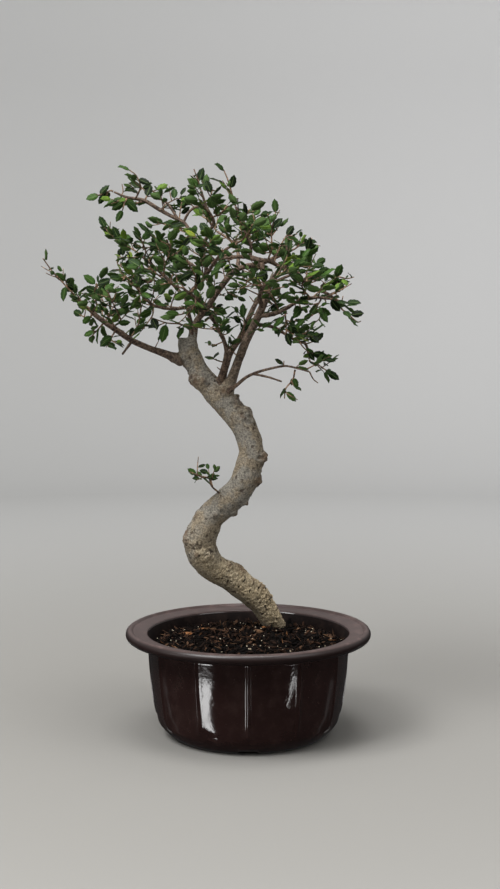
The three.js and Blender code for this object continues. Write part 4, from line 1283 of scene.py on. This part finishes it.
def twig_frame(twig, place):
    """At a place on a twig: the point, the way ahead, and the level and the upper way square to it."""
    foot, forward = twig.at(place), twig.tangent(place)
    level = square_to(np.cross([0, 0, 1], forward), forward)
    return foot, forward, level, np.cross(forward, level)


def both_ways(forward, level, upper, angle, lift):
    """The direction that leaves a twig at an angle, and the one that leaves it to the other side."""
    return [unit(forward * math.cos(a) + level * math.sin(a) + upper * lift) for a in (angle, -angle)]


def leaf_at_place(twig, place, side, draw):
    """A leaf that stands out to one side of the twig, or ends it."""
    foot, forward, level, upper = twig_frame(twig, place)
    swing_out = next(draw)
    angle = side * between(*LEAF["angle"], swing_out)
    if place == LAST_FOOT:
        angle = LEAF["tip_angle"] * (swing_out - 0.5)
    along, swing = both_ways(forward, level, upper, angle, between(*LEAF["lift"], next(draw)))
    roll = between(*LEAF["roll"], next(draw))
    length = between(LEAF["shortest"], LEAF["longest"], next(draw))
    return Leaf(foot, along, turned_about(square_to(upper, along), along, roll), length, swing)


def first_leaves(twig, tips, index):
    draw = draws_from(FIRST_SEED + SEED_STEP * index)
    wanted = min(max(math.floor(twig.length() / LEAF_SPACING + 0.5), LEAF_COUNT[0]), LEAF_COUNT[1])
    by_rule = max(wanted - len(tips), 1)
    drafts = [leaf_to_tip(twig, tip, draw) for tip in tips]
    for i in range(by_rule):
        place = between(SECOND_FOOT, LAST_FOOT, i / max(by_rule - 1, 1))
        drafts.append(leaf_at_place(twig, place, 1 if i % 2 else -1, draw))
    return drafts


twig_room = {name: segments_of(twig) for name, twig in twigs.items()}
limb_room = np.vstack([segments_of(limb) for limb in limbs.values()])
grown = {name: [] for name in twigs}
leaf_room = Room()
for index, (name, _, _, tips) in enumerate(SHOOTS):
    others = [rows for other, rows in twig_room.items() if other != name]
    for leaf in first_leaves(twigs[name], tips, index):
        if leaf.settle(np.vstack([limb_room, *others, leaf_room.rows]), LEAF["clearance"]):
            grown[name].append(leaf)
            leaf_room.take(leaf.segments(LEAF["clearance"]))
print("first leaves:", sum(map(len, grown.values())))

# %% [markdown]
# The frame carries four or five leaves on each shoot. The real crown is denser: each twig forks into thin
# side twigs with a few smaller leaves, and short leafy spurs stand on the limbs. They grow here in a
# second pass, in the room that the first leaves left, with thinner clearances, as leaves that brush past
# each other do. A crown is recognised by its outline, so a draft is kept only where the photograph shows
# foliage: its middle and its tip, seen by the camera, lie inside a line traced round the crown, and in
# none of its gaps. A twig that ends there stays too where it has no leaves, as some real ones are bare.

# %% Outline of the crown
# The photograph's middle and the lens's focal length, both in pixels.
PHOTO = {"middle": (250, 444.5), "focal": 1400}
CROWN = [
    (43, 256), (52, 262), (66, 272), (84, 274), (100, 275), (106, 268), (110, 252), (108, 240), (96, 230),
    (96, 216), (106, 218), (116, 226), (132, 222), (140, 216), (122, 206), (100, 207), (84, 201), (96, 191),
    (112, 186), (124, 178), (128, 169), (138, 174), (148, 180), (164, 176), (172, 181), (178, 190),
    (186, 184), (190, 170), (204, 166), (208, 176), (220, 182), (226, 168), (234, 176), (238, 198),
    (244, 210), (258, 208), (270, 206), (276, 197), (284, 204), (284, 216), (296, 220), (306, 234),
    (320, 242), (326, 258), (334, 266), (342, 262), (358, 272), (346, 284), (340, 292), (352, 300),
    (364, 312), (368, 328), (358, 324), (340, 312), (328, 306), (330, 334), (318, 344), (300, 346),
    (284, 342), (270, 330), (258, 340), (244, 362), (230, 376), (214, 366), (204, 356), (196, 342),
    (178, 338), (162, 352), (148, 344), (136, 338), (122, 354), (112, 348), (104, 336), (84, 328),
    (74, 318), (74, 306), (64, 296), (56, 284),
]
# Gaps inside the outline, and foliage that hangs outside it, as circles.
SEE_THROUGH = [
    (157, 212, 13), (142, 214, 8), (160, 222, 7), (170, 318, 13), (152, 318, 6), (190, 340, 7), (252, 292, 9),
    (209, 334, 7), (322, 314, 6), (223, 193, 5), (173, 194, 6), (80, 283, 5), (317, 254, 5), (63, 293, 4),
]
LOW_SPOTS = [(204, 482, 26), (314, 362, 14), (330, 366, 16), (298, 394, 12), (282, 362, 8), (282, 400, 8)]


def from_camera(point):
    """A point given in millimetres as the camera has it: how far to the right, how deep, and how high."""
    return Matrix.Rotation(CAMERA_DOWN, 3, "X") @ (Vector(point) - CAMERA_PLACE / MM)


def in_photo(point):
    """Where the camera sees a point, in the photograph's pixels."""
    right, depth, high = from_camera(point)
    scale = PHOTO["focal"] / depth
    return PHOTO["middle"][0] + right * scale, PHOTO["middle"][1] - high * scale


def in_crown(point):
    """True inside the traced outline, by counting the sides that lie to the right, and in no gap."""
    u, v = in_photo(point)
    if any(math.hypot(u - x, v - y) < radius for x, y, radius in LOW_SPOTS):
        return True
    inside = False
    for (u1, v1), (u2, v2) in zip(CROWN, [*CROWN[1:], CROWN[0]]):
        if (v1 > v) != (v2 > v) and u < u1 + (v - v1) * (u2 - u1) / (v2 - v1):
            inside = not inside
    return inside and all(math.hypot(u - x, v - y) > radius for x, y, radius in SEE_THROUGH)


def on_ray(u, v, depth):
    """The point that the camera sees at a place in the photograph, in a plane that lies this deep."""
    (middle_u, middle_v), focal = PHOTO["middle"], PHOTO["focal"]
    upright = Vector((u - middle_u, focal, middle_v - v)) * (depth / focal)
    return np.array(CAMERA_PLACE / MM + Matrix.Rotation(-CAMERA_DOWN, 3, "X") @ upright)


print("the tip of the tall twig is seen at", [round(x) for x in in_photo(LIMBS["tall"][-1][:3])])

# %% Side twigs, spurs and their leaves
FINE_SEED = 23
FINE_CLEARANCE = 0.1
SIDE_TWIG = {
    "reach": (7, 14), "radii": (0.48, 0.28), "angle": (0.55, 1.15), "spacing": 6.0, "places": (0.3, 0.92),
}
SPUR = {"reach": (10, 24), "radii": (0.6, 0.32), "angle": (0.7, 1.4), "places": (0.3, 0.98)}
FORK = {"lift": (-0.9, 1.1), "sway": (-0.14, 0.14), "rise": 0.16}
FINE_LEAF = {
    "spacing": 3.2, "length": (6.0, 12.5), "angle": (0.65, 1.2), "tip_angle": (-0.2, 0.2),
    "lift": (-0.4, 0.5), "roll": (-1.2, 1.2), "places": (0.4, 1.0), "tip_from": 0.95,
}
# How many spurs stand on each limb.
SPURS = {
    "left_low": 6, "leader": 8, "leader_front": 8, "fork_right": 4, "pale_cross": 4, "mid_left": 6,
    "inner": 5, "right_back": 8, "right_main": 8, "right_mid": 8, "arch": 6, "arch_left": 6, "right_low": 9,
    "tall": 4, "back_left": 6, "back_top": 5, "front_left": 5, "front_right": 6, "front_top": 5,
    "low_right": 6,
}
# Tufts that the photograph shows where no shoot of the frame reaches, by the places of their ends in it.
TUFTS = [
    (181, 196), (192, 199), (217, 188), (117, 287), (122, 280), (297, 233), (322, 281), (300, 308),
    (316, 322), (206, 300), (225, 320), (354, 277), (361, 321), (263, 250), (285, 312), (208, 345),
    (158, 296), (228, 262), (246, 232), (300, 262), (143, 246), (168, 262), (340, 288), (283, 330),
    (243, 318), (135, 300), (94, 300), (122, 184), (123, 257), (200, 293), (237, 297), (297, 320),
    (92, 327), (293, 240), (158, 342), (217, 367), (228, 296), (302, 309), (118, 343), (343, 296),
    (306, 318), (230, 330), (210, 327), (133, 259), (323, 352), (284, 361), (318, 383), (295, 296),
    (118, 257), (267, 233), (325, 303), (185, 237), (243, 289),
]
TUFT = {"reach": 34, "depth": (-6, 6), "sway": (-1.5, 1.5), "sag": -1.2, "radii": (0.6, 0.45, 0.32)}
fine = np.random.default_rng(FINE_SEED)


def forked(parent, place, side, shape):
    """A thin twig that leaves its parent at an angle and bends upwards a little."""
    foot, forward, level, upper = twig_frame(parent, place)
    angle = side * fine.uniform(*shape["angle"])
    out, _ = both_ways(forward, level, upper, angle, fine.uniform(*FORK["lift"]))
    reach = fine.uniform(*shape["reach"])
    bend = np.array([fine.uniform(*FORK["sway"]), fine.uniform(*FORK["sway"]), FORK["rise"]]) * reach
    points = [foot, foot + out * reach / 2 + bend * 0.3, foot + out * reach + bend]
    first, last = shape["radii"]
    return route_of(points, (first, (first + last) / 2, last), 4)


def fine_leaf(twig, place, side):
    foot, forward, level, upper = twig_frame(twig, place)
    if place < FINE_LEAF["tip_from"]:
        angle = side * fine.uniform(*FINE_LEAF["angle"])
    else:
        angle = fine.uniform(*FINE_LEAF["tip_angle"])
    along, swing = both_ways(forward, level, upper, angle, fine.uniform(*FINE_LEAF["lift"]))
    face = turned_about(square_to(upper, along), along, fine.uniform(*FINE_LEAF["roll"]))
    return Leaf(foot, along, face, fine.uniform(*FINE_LEAF["length"]), swing)


wood_room = np.vstack([limb_room, *twig_room.values()])


def leaves_on(twig):
    """Grows as many fine leaves on a twig as find room inside the crown's outline."""
    kept = []
    count = max(2, round(twig.length() / FINE_LEAF["spacing"]))
    for k in range(count):
        leaf = fine_leaf(twig, between(*FINE_LEAF["places"], k / (count - 1)), 1 if k % 2 else -1)
        clear = leaf.settle(np.vstack([wood_room, leaf_room.rows]), FINE_CLEARANCE)
        spots = (leaf.foot + leaf.along * leaf.length * share for share in (0.5, 1))
        if clear and all(map(in_crown, spots)):
            kept.append(leaf)
            leaf_room.take(leaf.segments(FINE_CLEARANCE))
    return kept


def forks(parent, count, shape):
    """Twigs on both sides of a parent, each with its leaves. A bare one stays if it ends in the crown."""
    kept = []
    for i in range(count):
        made = forked(parent, between(*shape["places"], (i + 0.5) / count), 1 if i % 2 else -1, shape)
        leaves = leaves_on(made)
        if leaves or in_crown(made.at(1)):
            kept.append((made, leaves))
    return kept


def tuft_twig(u, v):
    """A thin twig from the nearest limb or twig, as the camera sees it, to a place in the photograph."""
    seen = [(math.dist(in_photo(spot), (u, v)), owner, spot) for owner, spot in bearing_spots]
    _, owner, foot = min(seen, key=lambda row: row[0])
    end = on_ray(u, v, from_camera(foot).y + fine.uniform(*TUFT["depth"]))
    sway = [fine.uniform(*TUFT["sway"]) for _ in range(2)]
    middle = (foot + end) / 2 + np.array([*sway, TUFT["sag"]])
    if math.dist(foot, end) > TUFT["reach"]:
        return None, None
    return owner, route_of((foot, middle, end), TUFT["radii"], 6)


bearing = [*((name, route) for name, route in limbs.items() if name != "trunk"), *twigs.items()]
bearing_spots = [(name, route.at(i / 24)) for name, route in bearing for i in range(4, 25)]
side_twigs = {name: [] for name in twigs}
spurs = {}
for u, v in TUFTS:
    owner, made = tuft_twig(u, v)
    if owner:
        rows = side_twigs[owner] if owner in twigs else spurs.setdefault(owner, [])
        rows.append((made, leaves_on(made)))

for name, twig in twigs.items():
    count = max(2, round(twig.length() / SIDE_TWIG["spacing"]))
    side_twigs[name] += forks(twig, count, SIDE_TWIG)
    grown[name] += [leaf for _, leaves in side_twigs[name] for leaf in leaves]
for name, count in SPURS.items():
    spurs.setdefault(name, []).extend(forks(limbs[name], count, SPUR))
print("leaves on shoots:", sum(map(len, grown.values())))
print("leaves on spurs:", sum(len(leaves) for rows in spurs.values() for _, leaves in rows))

# %% [markdown]
# A leaf is a small grid, bent to shape by a formula: pointed at both ends, widest before the middle, folded
# along its midrib, with a tooth at every other column, and given a thickness. Four of them with other bends
# are enough, because each one is turned and sized anew. Its UV map runs along and across the blade, so that
# the midrib and the side veins can be drawn on it.


# %% Leaf blades
BLADE = {"columns": 9, "thickness": 0.02, "stalk": 0.11, "stalk_half": 0.02, "tooth": 0.058, "wave": 0.03}
# How far the tip droops, how steeply the halves fold up, and half the greatest width.
SHAPES = [(0.05, 0.30, 0.25), (0.14, 0.22, 0.23), (-0.05, 0.36, 0.26), (0.2, 0.28, 0.215)]


def blade_half_width(s, widest):
    """Half the blade's width at a share s of its length."""
    share = (s - BLADE["stalk"]) / (1 - BLADE["stalk"])
    if share <= 0:
        return BLADE["stalk_half"]
    return max(widest * math.sin(math.pi * min(share, 1) ** 0.86) ** 0.72, 0.0001)


def leaf_blade(droop, fold, widest):
    """A leaf one unit long, from its foot at the origin along X, with its face up."""
    bm = bmesh.new()
    bm.loops.layers.uv.new("blade")
    bmesh.ops.create_grid(bm, x_segments=BLADE["columns"], y_segments=2, size=0.5, calc_uvs=True)
    under = bm.verts.layers.float.new("under")
    for vert in bm.verts:
        s, side = vert.co.x + 0.5, 2 * vert.co.y
        column = round(s * BLADE["columns"])
        tooth = BLADE["tooth"] * (1 if column % 2 else -1) if 1 < column < BLADE["columns"] else 0
        y = side * blade_half_width(s, widest) * (1 + tooth)
        z = fold * abs(y) - droop * s**2 + BLADE["wave"] * math.sin(9 * s) * abs(side)
        vert.co = (s + 0.3 * tooth * abs(side), y, z)
    bmesh.ops.remove_doubles(bm, verts=bm.verts, dist=0.0005)
    bmesh.ops.recalc_face_normals(bm, faces=bm.faces)
    if sum(face.normal.z for face in bm.faces) < 0:
        bmesh.ops.reverse_faces(bm, faces=bm.faces)
    top = set(bm.verts)
    bmesh.ops.solidify(bm, geom=bm.faces, thickness=BLADE["thickness"])
    for vert in bm.verts:
        vert[under] = 0.0 if vert in top else 1.0
    mesh = bpy.data.meshes.new("blade")
    bm.to_mesh(mesh)
    bm.free()
    return mesh


blades = [leaf_blade(*shape) for shape in SHAPES]
print("faces of each blade:", [len(mesh.polygons) for mesh in blades])

# %% [markdown]
# Old leaves are dark and shine like wax, with paler veins and a dull, pale underside. A few young ones are
# yellow-green. Each leaf has one tint, a mark on its vertices.

# %% Leaf and twig finishes
leaf_look = new_look("elm_leaf")
chart = leaf_look.node("UVMap", {"uv_map": "blade"})
from_rib = leaf_look.node("Math", {"operation": "ABSOLUTE"}, {0: leaf_look.axis(chart, 1) - 0.5})
rib = 1 - from_rib.smooth(0.015, 0.07)
slanted = (leaf_look.axis(chart, 0) - from_rib * 0.5) * 11
from_vein = leaf_look.node("Math", {"operation": "PINGPONG"}, {0: slanted, 1: 0.5})
vein = 1 - from_vein.smooth(0.04, 0.16)
tint, under = leaf_look.mark("tint"), leaf_look.mark("under")
stops = [
    (0.0, shade(11, 21, 8)), (0.35, shade(27, 50, 19)), (0.7, shade(70, 104, 42)),
    (0.88, shade(116, 146, 44)), (0.95, shade(156, 158, 62)), (1.0, shade(124, 80, 50)),
]
mottle = leaf_look.noise(leaf_look.place(), 420, 3, 0.6)
green = leaf_look.node("ValToRGB", {"stops": stops}, {0: tint + (mottle - 0.5) * 0.2})
green = leaf_look.mix(green, shade(124, 150, 84), rib * 0.46 + vein * 0.24)
green = leaf_look.mix(green, shade(98, 126, 68), under * 0.5)
relief = rib * 0.3 - vein * 1.0 + mottle * 0.6
elm_leaf = leaf_look.finish(
    Base_Color=green,
    Roughness=0.36 + under * 0.3 + mottle * 0.12,
    Specular_IOR_Level=0.16,
    Normal=leaf_look.bump(relief, 0.0006, 0.9),
)

twig_look = new_look("twig_bark")
rough = twig_look.noise(twig_look.place(), 500, 3, 0.6)
colour = twig_look.mix(shade(62, 44, 32), shade(160, 128, 98), rough.smooth(0.38, 0.66))
twig_bark = twig_look.finish(
    Base_Color=colour, Roughness=0.75, Normal=twig_look.bump(rough, 0.0003, 0.6),
)

# %% Shoots as pieces
TWIG_TUBE = {"ring_step": 1.5, "least_rings": 4}
# The frame's twigs are drawn slimmer than the frame has them.
SLIMNESS = 0.7
SIDES = {"shoot": 7, "side_twig": 5, "spur": 6}
YOUNG_SHARE = 0.09
YOUNG_TINTS, OLD_TINTS = (0.74, 0.92), (0.02, 0.68)
# The frame's leaves are drawn a little shorter, and on the two low shoots all leaves are.
BLADE_SHARE = 0.88
SMALL_LEAVES = {"low_1": 0.78, "low_2": 0.74}


def add_leaf(bm, leaf, blade, tint, share):
    """Adds one blade, turned so that it lies along the leaf's midrib with its face up."""
    before = len(bm.verts)
    bm.from_mesh(blade)
    bm.verts.ensure_lookup_table()
    made = bm.verts[before:]
    across = np.cross(leaf.face, leaf.along)
    size = leaf.length * (BLADE_SHARE if leaf.length > FINE_LEAF["length"][1] else 1) * share
    axes = np.column_stack([leaf.along * size, across * size, leaf.face * size, leaf.foot])
    bmesh.ops.transform(bm, matrix=Matrix([*axes.tolist(), [0, 0, 0, 1]]), verts=made)
    layer = bm.verts.layers.float["tint"]
    for vert in made:
        vert[layer] = tint


def slimmed(route, slimness):
    return lambda t: route.radius(t) * slimness


def leafy_mesh(stems, leaves, share=1):
    """One bmesh of leaves with drawn tints and of stems, each a route, its sides and its slimness."""
    bm = bmesh.new()
    bm.loops.layers.uv.new("blade")
    bm.verts.layers.float.new("under")
    bm.verts.layers.float.new("tint")
    for route, sides, slimness in stems:
        rings = max(int(route.length() / TWIG_TUBE["ring_step"]), TWIG_TUBE["least_rings"])
        add_tube(bm, route, rings, sides, slimmed(route, slimness))
    bmesh.ops.recalc_face_normals(bm, faces=bm.faces)
    for face in bm.faces:
        face.material_index = 1
    for leaf in leaves:
        young = fine.uniform() < YOUNG_SHARE and leaf.length < FINE_LEAF["length"][1]
        tint = fine.uniform(*(YOUNG_TINTS if young else OLD_TINTS))
        add_leaf(bm, leaf, blades[fine.integers(len(blades))], tint, share)
    return bm


finishes = [elm_leaf, twig_bark]
for name, twig in twigs.items():
    stems = [(twig, SIDES["shoot"], SLIMNESS)]
    stems += [(side, SIDES["side_twig"], 1) for side, _ in side_twigs[name]]
    share = SMALL_LEAVES.get(name, 1)
    new_piece("twigs_" + name, leafy_mesh(stems, grown[name], share), finishes, "leaves", "shoot_" + name)
for name, rows in spurs.items():
    stems = [(spur, SIDES["spur"], 1) for spur, _ in rows]
    leaves = [leaf for _, borne in rows for leaf in borne]
    new_piece("spurs_" + name, leafy_mesh(stems, leaves), finishes, "leaves")

# %% [markdown]
# One bough was broken off long ago, and its torn stub has dried out to a pale grey. It borrows the bark's
# finish, which turns grey where the girth mark is large.

# %% Dead stub
STUB = {
    "bough": "right_main", "foot": (267, 292), "tip": (273, 272), "nearer_by": 2,
    "radii": (2.0, 1.5, 0.5), "rings": 12, "sides": 9, "knot_seed": 5, "girth": 9.0,
}


def dead_stub():
    """A tapering tube between two places in the photograph, from the surface of its bough."""
    spots = [limbs[STUB["bough"]].at(i / 60) for i in range(61)]
    foot = min(spots, key=lambda spot: math.dist(in_photo(spot), STUB["foot"]))
    tip = on_ray(*STUB["tip"], from_camera(foot).y - STUB["nearer_by"])
    route = route_of([between(foot, tip, share) for share in (0, 0.5, 1)], STUB["radii"], 6)
    bm = bmesh.new()
    girth_layer = bm.verts.layers.float.new("girth")
    for vert in add_tube(bm, route, STUB["rings"], STUB["sides"], knotty(route, STUB["knot_seed"])):
        vert[girth_layer] = STUB["girth"]
    bmesh.ops.recalc_face_normals(bm, faces=bm.faces)
    return bm


new_piece("dead_stub", dead_stub(), [bark], "bark", "wood")
